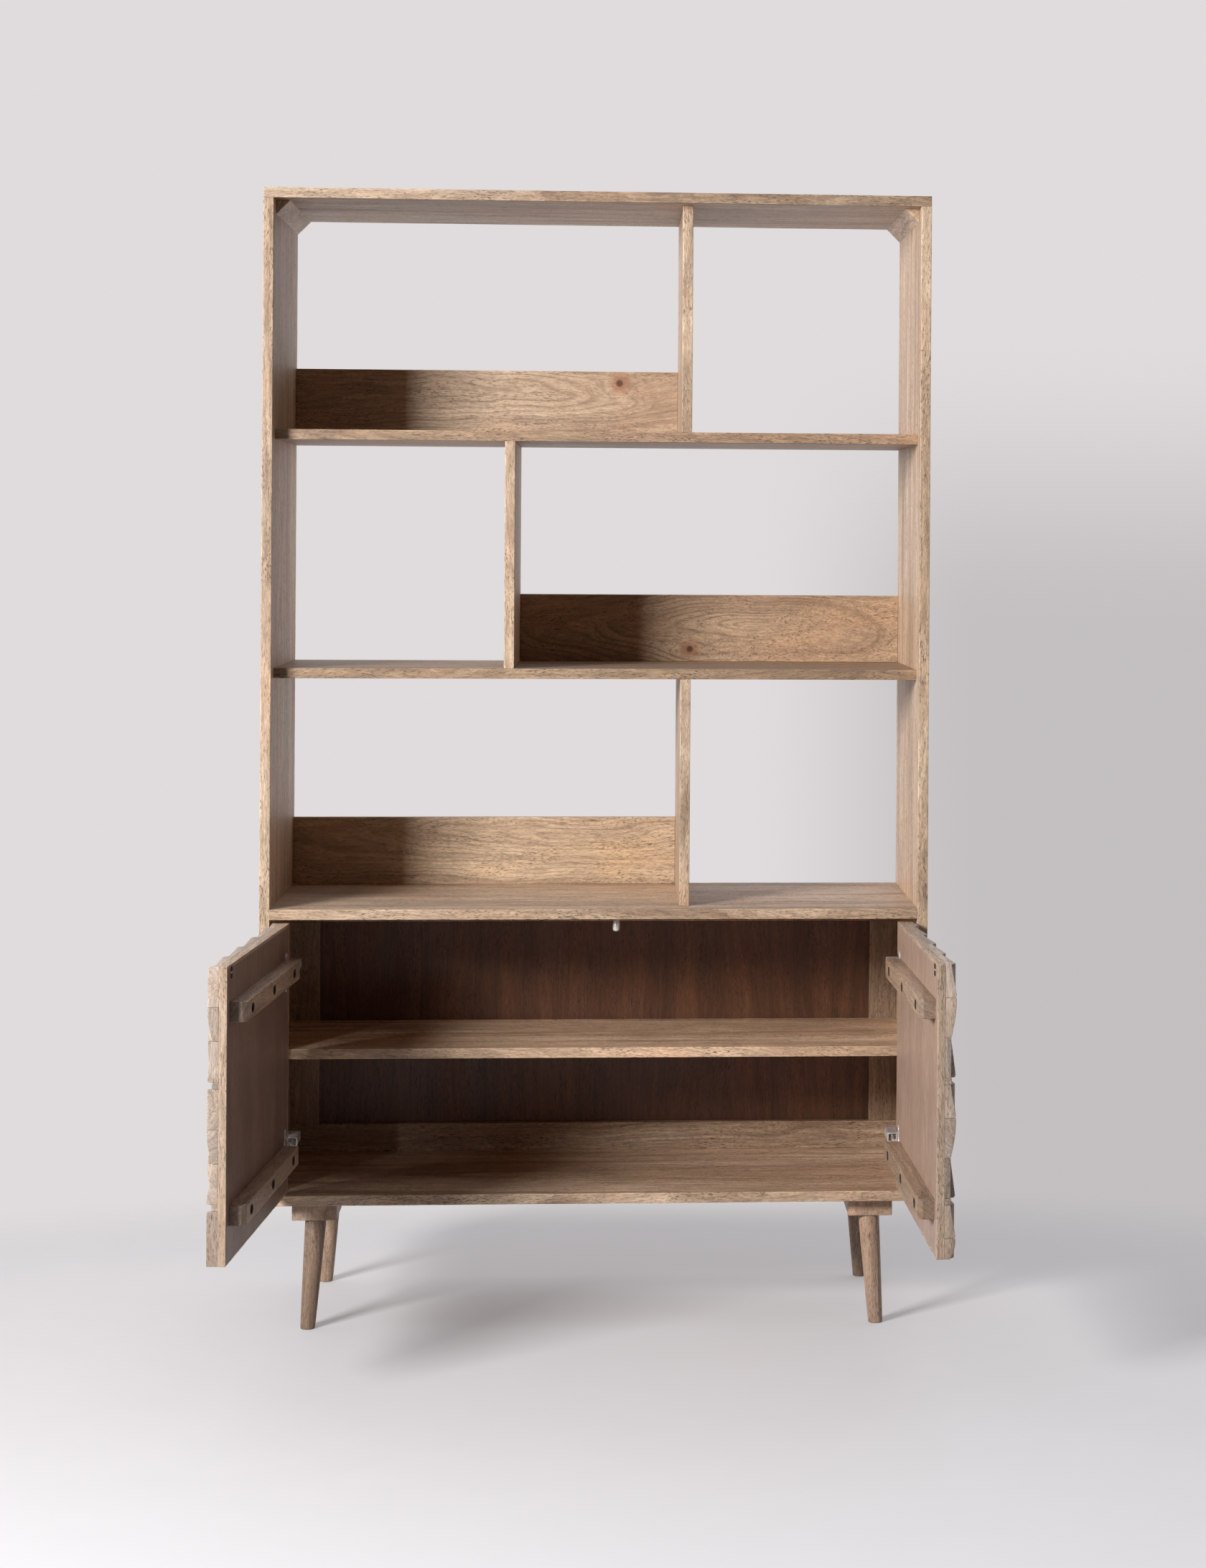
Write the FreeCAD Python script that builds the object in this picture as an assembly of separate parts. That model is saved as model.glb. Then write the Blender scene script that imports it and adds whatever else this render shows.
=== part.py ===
"""Open bookcase over a two-door cabinet on splayed legs, with carved block doors.

Frame: millimetres, +Z up, front of the case at y = 0 facing -Y, centre at x = 0, floor at z = 0.
The doors are drawn closed, then swung open about their hinge axes: the part rests with its doors open.
"""
import FreeCAD, Part
import math
import os

os.makedirs("parts", exist_ok=True)
V = FreeCAD.Vector

# ---- driving dimensions of the case ----
width = 1100.0
depth = 400.0
height = 1878.0
panel = 17.0                # thickness of every case panel
leg_space = 208.0           # floor to the underside of the bottom panel
cabinet_opening = 452.0     # clear height behind the doors
shelf_setback = 42.0        # upper shelves and dividers stand back from the front
inner_setback = 60.0        # cabinet shelf, clear of the closed doors' battens
square_bay = 378.0          # clear width of the narrow bays
housing = 5.0               # depth of the grooves that hold shelves in the sides
divider_housing = 4.0       # depth of the grooves that hold dividers in the shelves
housing_stop = 12.0         # a flush panel's groove stops this far behind the front
ease = 0.8                  # broken edge on every board

# ---- open back of the shelves, closed back of the cabinet ----
rail_height = 118.0
rail_thick = 15.0
frame_wide = 48.0           # stiles and rails of the cabinet back
frame_thick = 18.0
back_thick = 8.0
back_screw_pitch = 240.0
brace_leg = 23.0            # each leg of the corner block's triangle

# ---- legs ----
runner_wide = 73.0
runner_high = 41.0
runner_centre = 460.0       # from the middle of the case
runner_setback = 30.0
leg_top_d = 35.0
leg_foot_d = 24.0
leg_top_inset = 50.0        # from the front or back of the case to the leg's top centre
leg_splay_x = 11.0          # how far the foot stands out from the leg's top
leg_splay_y = 17.0
foot_ease = 1.5
tenon_d = 22.0
tenon_long = 26.0

# ---- doors ----
door_gap_side = 2.0
door_gap_middle = 2.5
door_gap_top = 5.0
door_gap_bottom = 6.0
board_thick = 12.0          # backing board of the door
block_high = 16.5           # thickest carved block
block_low = 9.0             # thinnest carved block
strip_low = 10.0            # plain strip between the carved rows
lipping = 4.0
column_pitch = 116.0
hinge_column = 60.0         # first column of blocks, beside the hinges
row_along = 60.0            # row of blocks that slope along the door
row_fall = 50.0             # row that slopes one way in height
row_rise = 60.0             # row that slopes back
row_strip = 10.0
least_row = 25.0            # what is left at the door's bottom joins the last block if it is lower
along_nose = 9.0            # rounded thick end of a block that slopes along the door
along_drop = 6.0
rise_nose = 4.0             # rounded thick end of a block that thickens downwards
rise_drop = 2.0
fall_flat = 6.0             # flat start of a block that thins downwards in an arc
left_open = 94.0            # how far each door stands open, in degrees
right_open = 91.3

# ---- battens and their screws ----
batten_start = 44.0         # from the hinge edge
batten_end_gap = 25.0       # from the leading edge
batten_high = 30.0
batten_deep = 25.0
batten_bevel = 7.0
batten_from_end = 70.0      # door end to the batten's middle
screw_inset = 48.0          # batten end to the first screw
counterbore_d = 12.5
counterbore_deep = 12.0
wood_screw_d = 4.0
wood_screw_bite = 9.0
wood_head_d = 8.0
wood_head_high = 3.0

# ---- hinges ----
hinge_axis_inset = 4.0      # axis to the inner face of the side, in the front plane
hinge_from_end = 77.0       # door end to the middle of the cup
cup_d = 35.0
cup_deep = 11.5
cup_wall = 0.8
cup_rim = 1.6
cup_from_edge = 22.5
flange_long = 64.0
flange_wide = 16.0
flange_thick = 1.4
flange_offset = 6.0         # screw line beyond the cup's middle
flange_screw_pitch = 48.0
small_screw_d = 3.5
small_head_d = 7.0
small_head_high = 2.0
small_bite = 10.0
arm_web_out = 44.5          # inner face of the side to the far face of the arm
arm_wall = 1.5
arm_high = 15.0
arm_cheek = 22.0
arm_front = 31.0            # y where the arm starts, just behind the closed door
arm_back = 88.0
arm_foot = 6.0
arm_foot_inset = 4.0
plate_thick = 9.0
plate_long = 34.0
plate_wing_high = 48.0
plate_wing_long = 12.0
plate_wing_thick = 2.5
plate_screw_pitch = 32.0
link_eye_u = 10.0           # pivot in the cup, from the door's hinge edge
link_eye_in = 4.0           # pivot below the door's inner face
link_long = 54.0
link_thick = 2.2
link_high = 9.0
link_rise = 10.5            # height of the goose-neck that passes the door's edge
link_neck_turn = 85.0       # angle between the goose-neck and the blade
link_closed_angle = 72.0    # direction of the left link from +X, with its door closed
link_lag = 0.10             # share of the door's swing that the link turns by, in the case's frame
link_eye_wall = 1.2
link_pin_d = 2.4
link_pin_slack = 0.05
link_pin_long = 21.4

# ---- catches under the cabinet top ----
catch_from_middle = 34.0
catch_d = 12.0
catch_high = 13.0
catch_round = 3.0
catch_y = 36.0
strike_high = 18.0
strike_wide = 9.0
strike_thick = 1.2

# ---- flats that stand in for round surfaces ----
screw_flats = 8
bore_flats = 12
wide_flats = 20

# ---- heights and places that follow from these ----
half = width / 2
inner = half - panel
bottom_top = leg_space + panel
cabinet_ceiling = bottom_top + cabinet_opening
cabinet_top_z = cabinet_ceiling + panel
top_underside = height - panel
bay_height = (top_underside - cabinet_top_z - 2 * panel) / 3
middle_z = cabinet_top_z + bay_height
upper_z = middle_z + panel + bay_height
divider_x = inner - square_bay - panel / 2
cabinet_shelf_z = bottom_top + 214.0
runner_z = leg_space - runner_high
frame_y = depth - back_thick - frame_thick
door_thick = board_thick + block_high
door_width = inner - door_gap_side - door_gap_middle / 2
door_low = bottom_top + door_gap_bottom
door_top = cabinet_ceiling - door_gap_top
door_high = door_top - door_low
door_edge = -inner + door_gap_side
axis_x = -inner + hinge_axis_inset
hinge_heights = (door_low + hinge_from_end, door_top - hinge_from_end)
batten_heights = (door_low + batten_from_end, door_top - batten_from_end)
batten_long = door_width - batten_start - batten_end_gap


def export(name, solids):
    """One STEP file per node, holding a single solid or a group of loose solids."""
    shape = solids[0] if len(solids) == 1 else Part.makeCompound(solids)
    shape.exportStep("parts/%s.step" % name)


def block(x0, x1, y0, y1, z0, z1):
    return Part.makeBox(x1 - x0, y1 - y0, z1 - z0, V(x0, y0, z0))


def board(x0, x1, y0, y1, z0, z1):
    """Sawn board with all its edges broken."""
    plain = block(x0, x1, y0, y1, z0, z1)
    return plain.makeChamfer(ease, plain.Edges)


def outline(points):
    """Flat face inside a closed run of straight edges."""
    return Part.Face(Part.makePolygon(points + [points[0]]))


def ring(centre, radius, facing, flats):
    """Corners of a regular polygon on a circle."""
    first = V(1, 0, 0) if abs(facing.x) < 0.9 else V(0, 0, 1)
    second = facing.cross(first)
    points = []
    for i in range(flats):
        angle = 2 * math.pi * (i + 0.5) / flats
        points.append(centre + first * (radius * math.cos(angle)) + second * (radius * math.sin(angle)))
    return points


def turned(start, way, profile, flats, facing):
    """Turned piece drawn with flats: profile gives its radius at each distance along its axis.

    facing is the square direction that its cross-sections face, also where the axis leans.
    """
    rings = [ring(start + way * along, radius, facing, flats) for along, radius in profile]
    faces = [outline(rings[0]), outline(rings[-1])]
    for near, far in zip(rings, rings[1:]):
        for i in range(flats):
            faces.append(outline([near[i - 1], near[i], far[i], far[i - 1]]))
    shell = Part.makeShell(faces)
    shell.sewShape()
    solid = Part.makeSolid(shell)
    if solid.Volume < 0:
        solid.reverse()
    return solid


def rod(radius, long, start, way, flats):
    return turned(start, way, ((0, radius), (long, radius)), flats, way)


def mirrored(shape):
    return shape.mirror(V(0, 0, 0), V(1, 0, 0))


# ---- case: sides, top, shelves and dividers ----
def shelf_board(front, back, z, stop):
    """Shelf with a tongue at each end, which starts a stop behind the front edge."""
    shape = board(-inner, inner, front, back, z, z + panel)
    for x0, x1 in ((-inner - housing, -inner + ease), (inner - ease, inner + housing)):
        shape = shape.fuse(block(x0, x1, front + stop, back, z, z + panel))
    return shape.removeSplitter()


def side_grooves():
    """Tools that cut the left side's grooves, one for each shelf."""
    tools = []
    for front, back, z in ((shelf_setback, depth, upper_z), (shelf_setback, depth, middle_z),
                           (housing_stop, depth, cabinet_ceiling), (housing_stop, depth, leg_space),
                           (inner_setback + housing_stop, frame_y, cabinet_shelf_z)):
        tools.append(block(-inner - housing, -inner + ease, front, back, z, z + panel))
    return tools


def divider_groove(x, z0):
    """Groove across a shelf for a divider, cut upwards from height z0."""
    return block(x - panel / 2, x + panel / 2, shelf_setback, depth + 1, z0, z0 + divider_housing)


def make_case():
    side = board(-half, -inner, 0, depth, leg_space, top_underside)
    for tool in side_grooves() + plate_screws():
        side = side.cut(tool)
    export("left_side", [side])
    export("right_side", [mirrored(side)])
    top = board(-half, half, 0, depth, top_underside, height)
    export("top_panel", [top.cut(divider_groove(divider_x, top_underside))])
    upper = shelf_board(shelf_setback, depth, upper_z, 0)
    upper = upper.cut(divider_groove(divider_x, upper_z + panel - divider_housing))
    export("upper_shelf", [upper.cut(divider_groove(-divider_x, upper_z))])
    middle = shelf_board(shelf_setback, depth, middle_z, 0)
    middle = middle.cut(divider_groove(-divider_x, middle_z + panel - divider_housing))
    export("middle_shelf", [middle.cut(divider_groove(divider_x, middle_z))])
    cabinet_top = shelf_board(0, depth, cabinet_ceiling, housing_stop)
    export("cabinet_top", [cabinet_top.cut(divider_groove(divider_x, cabinet_top_z - divider_housing))])
    export("bottom_panel", [shelf_board(0, depth, leg_space, housing_stop)])
    export("cabinet_shelf", [shelf_board(inner_setback, frame_y, cabinet_shelf_z, housing_stop)])
    for name, x, z0, z1 in (("upper_divider", divider_x, upper_z + panel, top_underside),
                            ("middle_divider", -divider_x, middle_z + panel, upper_z),
                            ("lower_divider", divider_x, cabinet_top_z, middle_z)):
        export(name, [block(x - panel / 2, x + panel / 2, shelf_setback, depth,
                            z0 - divider_housing, z1 + divider_housing)])


def make_back():
    """Low rails behind the wide bays, and the framed back of the cabinet."""
    edge = divider_x - panel / 2
    for name, x0, x1, z in (("upper_back_rail", -inner, edge, upper_z + panel),
                            ("middle_back_rail", -edge, inner, middle_z + panel),
                            ("lower_back_rail", -inner, edge, cabinet_top_z)):
        export(name, [board(x0, x1, depth - rail_thick, depth, z, z + rail_height)])
    frame_back = frame_y + frame_thick
    low_top = bottom_top + frame_wide
    high_low = cabinet_ceiling - frame_wide
    stile = board(-inner, -inner + frame_wide, frame_y, frame_back, low_top, high_low)
    low = board(-inner, inner, frame_y, frame_back, bottom_top, low_top)
    high = board(-inner, inner, frame_y, frame_back, high_low, cabinet_ceiling)
    back = block(-inner, inner, depth - back_thick, depth, bottom_top, cabinet_ceiling)
    screws = []
    count = round((2 * inner - frame_wide) / back_screw_pitch)
    step = (2 * inner - frame_wide) / count
    members = [stile, mirrored(stile), low, high]
    for row_z in (bottom_top + frame_wide / 2, cabinet_ceiling - frame_wide / 2):
        for i in range(count + 1):
            seat = V(-inner + frame_wide / 2 + i * step, depth, row_z)
            countersunk = ((0, wood_head_d / 2), (wood_head_high, wood_screw_d / 2),
                           (back_thick + wood_screw_bite, wood_screw_d / 2))
            screw = turned(seat, V(0, -1, 0), countersunk, screw_flats, V(0, -1, 0))
            screws.append(screw)
            back = back.cut(screw)
            members = [m.cut(screw) if m.BoundBox.isInside(V(seat.x, frame_y + 9, row_z)) else m
                       for m in members]
    names = ("left_back_stile", "right_back_stile", "lower_back_frame_rail", "upper_back_frame_rail")
    for name, member in zip(names, members):
        export(name, [member])
    export("cabinet_back_panel", [back])
    export("back_panel_screws", screws)


def make_braces():
    """Triangular blocks along both top corners of the open shelves."""
    profile = outline([V(-inner, shelf_setback, top_underside - brace_leg),
                       V(-inner + brace_leg, shelf_setback, top_underside),
                       V(-inner, shelf_setback, top_underside)])
    brace = profile.extrude(V(0, depth - shelf_setback, 0))
    export("left_corner_brace", [brace])
    export("right_corner_brace", [mirrored(brace)])


# ---- legs on their runners ----
def make_leg(front):
    """Tapered round leg that leans outwards, level at its top and foot, with a tenon above."""
    top_y = leg_top_inset if front else depth - leg_top_inset
    foot_y = top_y - leg_splay_y if front else top_y + leg_splay_y
    foot = V(-(runner_centre - 1) - leg_splay_x, foot_y, 0)
    lean = V(leg_splay_x, top_y - foot_y, runner_z) / runner_z
    profile = ((0, leg_foot_d / 2 - foot_ease), (foot_ease, leg_foot_d / 2), (runner_z, leg_top_d / 2),
               (runner_z, tenon_d / 2), (runner_z + tenon_long, tenon_d / 2))
    return turned(foot, lean, profile, wide_flats, V(0, 0, 1))


def make_legs():
    runner = board(-runner_centre - runner_wide / 2, -runner_centre + runner_wide / 2,
                   runner_setback, depth - runner_setback, runner_z, leg_space)
    for front in (True, False):
        leg = make_leg(front)
        runner = runner.cut(leg)
        word = "front" if front else "back"
        export("%s_left_leg" % word, [leg])
        export("%s_right_leg" % word, [mirrored(leg)])
    export("left_leg_runner", [runner])
    export("right_leg_runner", [mirrored(runner)])


# ---- doors: drawn closed as a left door, then mirrored for the right and swung open ----
def placed(shape, side):
    """Move a piece of the closed left door to its open place on the given side."""
    turned = shape.copy()
    if side == "left":
        turned.rotate(V(axis_x, 0, 0), V(0, 0, 1), -left_open)
        return turned
    turned = mirrored(turned)
    turned.rotate(V(-axis_x, 0, 0), V(0, 0, 1), right_open)
    return turned


def carved_block(corner, along, long, across, start, straight, drop):
    """Block whose outer face runs straight from its start thickness to the full one, then rounds off.

    corner is where its thin end meets the board, along the direction in which it thickens and
    across its width; the rounding starts at the straight length and drops by the end of the block.
    """
    out = V(0, -1, 0)
    nose = corner + along * straight + out * block_high
    tip = corner + along * long + out * (block_high - drop)
    crown = (nose + tip) / 2 + out * (drop / 4)
    return outline([corner, corner + out * start, nose, crown, tip, corner + along * long]).extrude(across)


def carved_column(u0, u1, rows, valley, lean):
    """One column of carved blocks, built down from the top of the door.

    rows: the kinds of row from the top, repeated; valley: the blocks thin downwards and then
    thicken again, or the other way round; lean: which way the rows along the door thicken, -1
    towards the hinges, 1 away from them, 0 for flat blocks of the thinnest kind.
    """
    heights = {"along": row_along, "first": row_fall, "second": row_rise, "strip": row_strip}
    blocks = []
    z = door_top
    k = 0
    while z > door_low + 0.01:
        kind = rows[k % len(rows)]
        low = max(z - heights[kind], door_low)
        if low - door_low < least_row:
            low = door_low
        across = V(u1 - u0, 0, 0)
        if kind == "strip" or (kind == "along" and lean == 0):
            thick = strip_low if kind == "strip" else block_low
            blocks.append(block(door_edge + u0, door_edge + u1, block_high - thick, block_high, low, z))
        elif kind == "along":
            thin_end = u1 if lean < 0 else u0
            start = max(block_high - (u1 - u0) * (block_high - block_low) / column_pitch, block_low)
            straight = max(u1 - u0 - along_nose, (u1 - u0) / 4)
            blocks.append(carved_block(V(door_edge + thin_end, block_high, low), V(lean, 0, 0), u1 - u0,
                                       V(0, 0, z - low), start, straight, along_drop))
        elif (kind == "first") == valley:
            blocks.append(carved_block(V(door_edge + u0, block_high, z), V(0, 0, -1), z - low, across,
                                       block_high, fall_flat, block_high - block_low))
        else:
            blocks.append(carved_block(V(door_edge + u0, block_high, z), V(0, 0, -1), z - low, across,
                                       block_low, z - low - rise_nose, rise_drop))
        z = low
        k += 1
    return blocks


def carved_front(side):
    """The glued mosaic of carved blocks: sawtooth rows along the door between valleys and ridges."""
    rows = ("along", "first", "second", "strip")
    blocks = []
    edges = [0.0, hinge_column]
    while edges[-1] + column_pitch < door_width:
        edges.append(edges[-1] + column_pitch)
    edges.append(door_width)
    for i in range(len(edges) - 1):
        last = i == len(edges) - 2
        if side == "left":
            blocks += carved_column(edges[i], edges[i + 1], rows, i % 2 == 1, -1)
        elif last:
            blocks += carved_column(edges[i], edges[i + 1], ("first", "second", "along", "strip"), False, 0)
        else:
            blocks += carved_column(edges[i], edges[i + 1], rows, i % 2 == 0, 1)
    return blocks


def hinge_seats():
    """Centres of the two cups on the door's inner face."""
    return [V(door_edge + cup_from_edge, door_thick, z) for z in hinge_heights]


def flange_screw_seats():
    seats = []
    for seat in hinge_seats():
        for way in (-1, 1):
            seats.append(seat + V(flange_offset, flange_thick, way * flange_screw_pitch / 2))
    return seats


def batten_screw_seats():
    seats = []
    span = batten_long - 2 * screw_inset
    for z in batten_heights:
        for i in range(3):
            u = batten_start + screw_inset + i * span / 2
            seats.append(V(door_edge + u, door_thick + batten_deep - counterbore_deep, z))
    return seats


def make_screw(seat, way, head_d, head_high, shank_d, long):
    """Round-headed screw driven the given way, its head resting at the seat."""
    profile = ((-head_high, head_d * 0.4), (0, head_d / 2), (0, shank_d / 2), (long, shank_d / 2))
    return turned(seat, way, profile, screw_flats, way)


def make_batten(z):
    """Square batten with a bevelled leading end and counterbored screw holes."""
    x0 = door_edge + batten_start
    y0 = door_thick
    y1 = door_thick + batten_deep
    face = outline([V(x0, y0, z - batten_high / 2), V(x0 + batten_long, y0, z - batten_high / 2),
                    V(x0 + batten_long, y1 - batten_bevel, z - batten_high / 2),
                    V(x0 + batten_long - batten_bevel, y1, z - batten_high / 2),
                    V(x0, y1, z - batten_high / 2)])
    batten = face.extrude(V(0, 0, batten_high))
    batten = batten.makeChamfer(ease, [e for e in batten.Edges if e.CenterOfMass.y > y0 + 0.1])
    for seat in batten_screw_seats():
        if abs(seat.z - z) < 1:
            batten = batten.cut(rod(counterbore_d / 2, counterbore_deep + 1, seat, V(0, 1, 0), bore_flats))
            batten = batten.cut(rod(wood_screw_d / 2, batten_deep, seat, V(0, -1, 0), screw_flats))
    return batten


def make_cup(seat):
    """Pressed cup with its rim, the upright flange that takes two screws, and the link's pin."""
    radius = cup_d / 2 - 0.1
    out = V(0, 1, 0)
    shape = turned(seat, out, ((-cup_deep, radius), (0, radius), (0, radius + cup_rim),
                               (flange_thick, radius + cup_rim)), wide_flats, out)
    middle = seat + V(flange_offset, 0, 0)
    arm = flange_long / 2 - flange_wide / 2
    shape = shape.fuse(block(middle.x - flange_wide / 2, middle.x + flange_wide / 2, seat.y,
                             seat.y + flange_thick, seat.z - arm, seat.z + arm))
    for way in (-1, 1):
        end = middle + V(0, 0, way * arm)
        shape = shape.fuse(rod(flange_wide / 2, flange_thick, end, out, bore_flats))
        hole = middle + V(0, -1, way * flange_screw_pitch / 2)
        shape = shape.cut(rod(small_screw_d / 2, flange_thick + 2, hole, out, screw_flats))
    hollow = rod(radius - cup_wall, cup_deep + 5, seat + out * (cup_wall - cup_deep), out, wide_flats)
    shape = shape.cut(hollow)
    pin_end = V(door_edge + link_eye_u, door_thick - link_eye_in, seat.z - link_pin_long / 2)
    pin = Part.makeCylinder(link_pin_d / 2, link_pin_long, pin_end)
    pin_seat = rod(link_pin_d / 2 + link_pin_slack, link_pin_long, pin_end, V(0, 0, 1), bore_flats)
    return shape.removeSplitter().cut(pin_seat), pin


def make_link(z, opening):
    """Goose-necked link for the left door when that stands open by the given angle.

    It leaves its pin square to the door, passes the door's edge and runs straight into the arm.
    """
    swing = math.radians(-opening)
    eye_x = door_edge + link_eye_u - axis_x
    eye_y = door_thick - link_eye_in
    eye = V(axis_x + eye_x * math.cos(swing) - eye_y * math.sin(swing),
            eye_x * math.sin(swing) + eye_y * math.cos(swing), z - link_high / 2)
    angle = math.radians(link_closed_angle + link_lag * opening)
    neck_angle = angle - math.radians(link_neck_turn)
    tip = eye + V(math.cos(angle), math.sin(angle), 0) * link_long
    neck = eye + V(math.cos(neck_angle), math.sin(neck_angle), 0) * link_rise
    body = rod(link_thick / 2 + link_eye_wall, link_high, eye, V(0, 0, 1), bore_flats)
    for a, b in ((eye, neck), (neck, tip)):
        along = (b - a).normalize()
        across = V(-along.y, along.x, 0) * (link_thick / 2)
        strip = outline([a + across, b + across, b - across, a - across])
        body = body.fuse(strip.extrude(V(0, 0, link_high)))
        body = body.fuse(rod(link_thick / 2, link_high, b, V(0, 0, 1), bore_flats))
    body = body.cut(Part.makeCylinder(link_pin_d / 2 + link_pin_slack, link_high, eye))
    return body.removeSplitter()


def make_door(side):
    x0 = door_edge
    x1 = door_edge + door_width
    y0 = block_high
    y1 = door_thick
    core = block(x0 + lipping, x1 - lipping, y0, y1, door_low + lipping, door_top - lipping)
    frame = block(x0, x1, y0, y1, door_low, door_top).cut(core)
    for seat in hinge_seats():
        bore = rod(cup_d / 2, board_thick, seat, V(0, -1, 0), wide_flats)
        core = core.cut(bore)
        frame = frame.cut(bore)
    for seat in flange_screw_seats():
        core = core.cut(rod(small_screw_d / 2, small_bite, seat, V(0, -1, 0), screw_flats))
    shank_long = batten_deep - counterbore_deep + wood_screw_bite
    for seat in batten_screw_seats():
        core = core.cut(rod(wood_screw_d / 2, shank_long, seat, V(0, -1, 0), screw_flats))
    battens = [make_batten(z) for z in batten_heights]
    cups = [make_cup(seat) for seat in hinge_seats()]
    strike_x = -catch_from_middle
    strike = block(strike_x - strike_wide / 2, strike_x + strike_wide / 2, y1, y1 + strike_thick,
                   door_top - 3 - strike_high, door_top - 3)
    into = V(0, -1, 0)
    flange_screws = [make_screw(s, into, small_head_d, small_head_high, small_screw_d, small_bite)
                     for s in flange_screw_seats()]
    batten_screws = [make_screw(s, into, wood_head_d, wood_head_high, wood_screw_d, shank_long)
                     for s in batten_screw_seats()]
    pieces = {"door_board": [core], "door_lipping": [frame], "door_carving": carved_front(side),
              "lower_batten": battens[:1], "upper_batten": battens[1:],
              "batten_screws": batten_screws, "hinge_cups": [c[0] for c in cups],
              "hinge_pins": [c[1] for c in cups], "hinge_screws": flange_screws,
              "strike_plate": [strike]}
    for word, solids in pieces.items():
        export("%s_%s" % (side, word), [placed(s, side) for s in solids])


# ---- hinge arms on the sides, with the links that reach into the cups ----
def make_arm(z):
    """Folded arm over its mounting plate: a web, two cheeks and a foot on the plate."""
    web_x = -inner + arm_web_out
    low = z - arm_high / 2
    arm = block(web_x - arm_cheek, web_x, arm_front, arm_back, low, low + arm_high)
    arm = arm.cut(block(web_x - arm_cheek - 1, web_x - arm_wall, arm_front - 1, arm_back + 1,
                        low + arm_wall, low + arm_high - arm_wall))
    foot_end = arm_back - arm_foot_inset
    foot = block(-inner + plate_thick, web_x - arm_wall, foot_end - arm_foot, foot_end,
                 low + arm_wall, low + arm_high - arm_wall)
    return arm.fuse(foot).removeSplitter()


def make_plate(z):
    """Mounting plate: a raised block with two thin wings that take the screws."""
    low = z - arm_high / 2
    core = block(-inner, -inner + plate_thick, arm_back - plate_long, arm_back, low, low + arm_high)
    wing_y = arm_back - plate_long / 2 - plate_wing_long / 2
    wing = block(-inner, -inner + plate_wing_thick, wing_y, wing_y + plate_wing_long,
                 z - plate_wing_high / 2, z + plate_wing_high / 2)
    return core.fuse(wing).removeSplitter()


def plate_screws():
    """Screws that hold the left mounting plates to the side, two to each plate."""
    screws = []
    for z in hinge_heights:
        for way in (-1, 1):
            seat = V(-inner + plate_wing_thick, arm_back - plate_long / 2,
                     z + way * plate_screw_pitch / 2)
            screws.append(make_screw(seat, V(-1, 0, 0), small_head_d, small_head_high,
                                     small_screw_d, small_bite))
    return screws


def make_hinges():
    screws = plate_screws()
    plates = []
    for z in hinge_heights:
        plate = make_plate(z)
        for screw in screws:
            plate = plate.cut(screw)
        plates.append(plate)
    arms = [make_arm(z) for z in hinge_heights]
    for word, solids in (("hinge_arms", arms), ("mounting_plates", plates), ("plate_screws", screws)):
        export("left_%s" % word, solids)
        export("right_%s" % word, [mirrored(s) for s in solids])
    export("left_hinge_links", [make_link(z, left_open) for z in hinge_heights])
    export("right_hinge_links", [mirrored(make_link(z, right_open)) for z in hinge_heights])


def make_catches():
    """A bright round-ended bumper for the right door and a flat dark magnet for the left."""
    top = V(catch_from_middle, catch_y, cabinet_ceiling)
    radius = catch_d / 2
    rounded = ((0, radius), (catch_high - catch_round, radius),
               (catch_high - 0.3 * catch_round, radius - 0.3 * catch_round),
               (catch_high, radius - catch_round))
    export("right_catch", [turned(top, V(0, 0, -1), rounded, bore_flats, V(0, 0, -1))])
    export("left_catch", [block(-catch_from_middle - catch_d / 2, -catch_from_middle + catch_d / 2,
                                catch_y - 6, catch_y + 18, cabinet_ceiling - 4, cabinet_ceiling)])


make_case()
make_back()
make_braces()
make_legs()
for door_side in ("left", "right"):
    make_door(door_side)
make_hinges()
make_catches()
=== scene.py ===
import bpy
import math
import numpy as np
from mathutils import Matrix, Vector


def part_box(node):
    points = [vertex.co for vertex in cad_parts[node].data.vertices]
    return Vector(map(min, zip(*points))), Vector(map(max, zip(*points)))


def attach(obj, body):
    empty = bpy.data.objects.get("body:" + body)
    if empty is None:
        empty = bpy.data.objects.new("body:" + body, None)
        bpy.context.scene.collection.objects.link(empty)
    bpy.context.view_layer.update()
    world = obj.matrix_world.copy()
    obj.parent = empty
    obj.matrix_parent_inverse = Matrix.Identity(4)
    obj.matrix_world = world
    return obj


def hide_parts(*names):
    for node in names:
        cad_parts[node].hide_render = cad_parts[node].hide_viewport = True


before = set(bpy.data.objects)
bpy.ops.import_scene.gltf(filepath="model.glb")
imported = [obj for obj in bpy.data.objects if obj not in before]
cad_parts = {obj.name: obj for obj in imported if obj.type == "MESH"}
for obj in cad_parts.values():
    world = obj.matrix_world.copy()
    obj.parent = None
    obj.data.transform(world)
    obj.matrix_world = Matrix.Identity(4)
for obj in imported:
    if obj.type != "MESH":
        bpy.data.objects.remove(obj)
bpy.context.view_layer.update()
print("frame loaded:", len(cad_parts), "nodes")

mm = 0.001
seeds = np.random.default_rng(11)
axisOrder = {"x": (0, 1, 2), "y": (1, 2, 0), "z": (2, 0, 1)}   # along, p, q, always right-handed

# Surfaces from numbers: a shape is its points, its faces and named values at the points
barLook = {
    "shortDent": 22 * mm, "shortShare": 0.6,    # dents in worn arrises: how long, and how much of the wear
    "longDent": 60 * mm, "longShare": 0.5,
    "deepest": 1.5,
    "band": 0.9 * mm,       # extra row of points beside an arris
    "leastRadius": 0.25,    # share of its radius that a corner keeps on the innermost ring
    "probe": 0.1 * mm,      # small inset that shows which way is inwards
}


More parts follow.
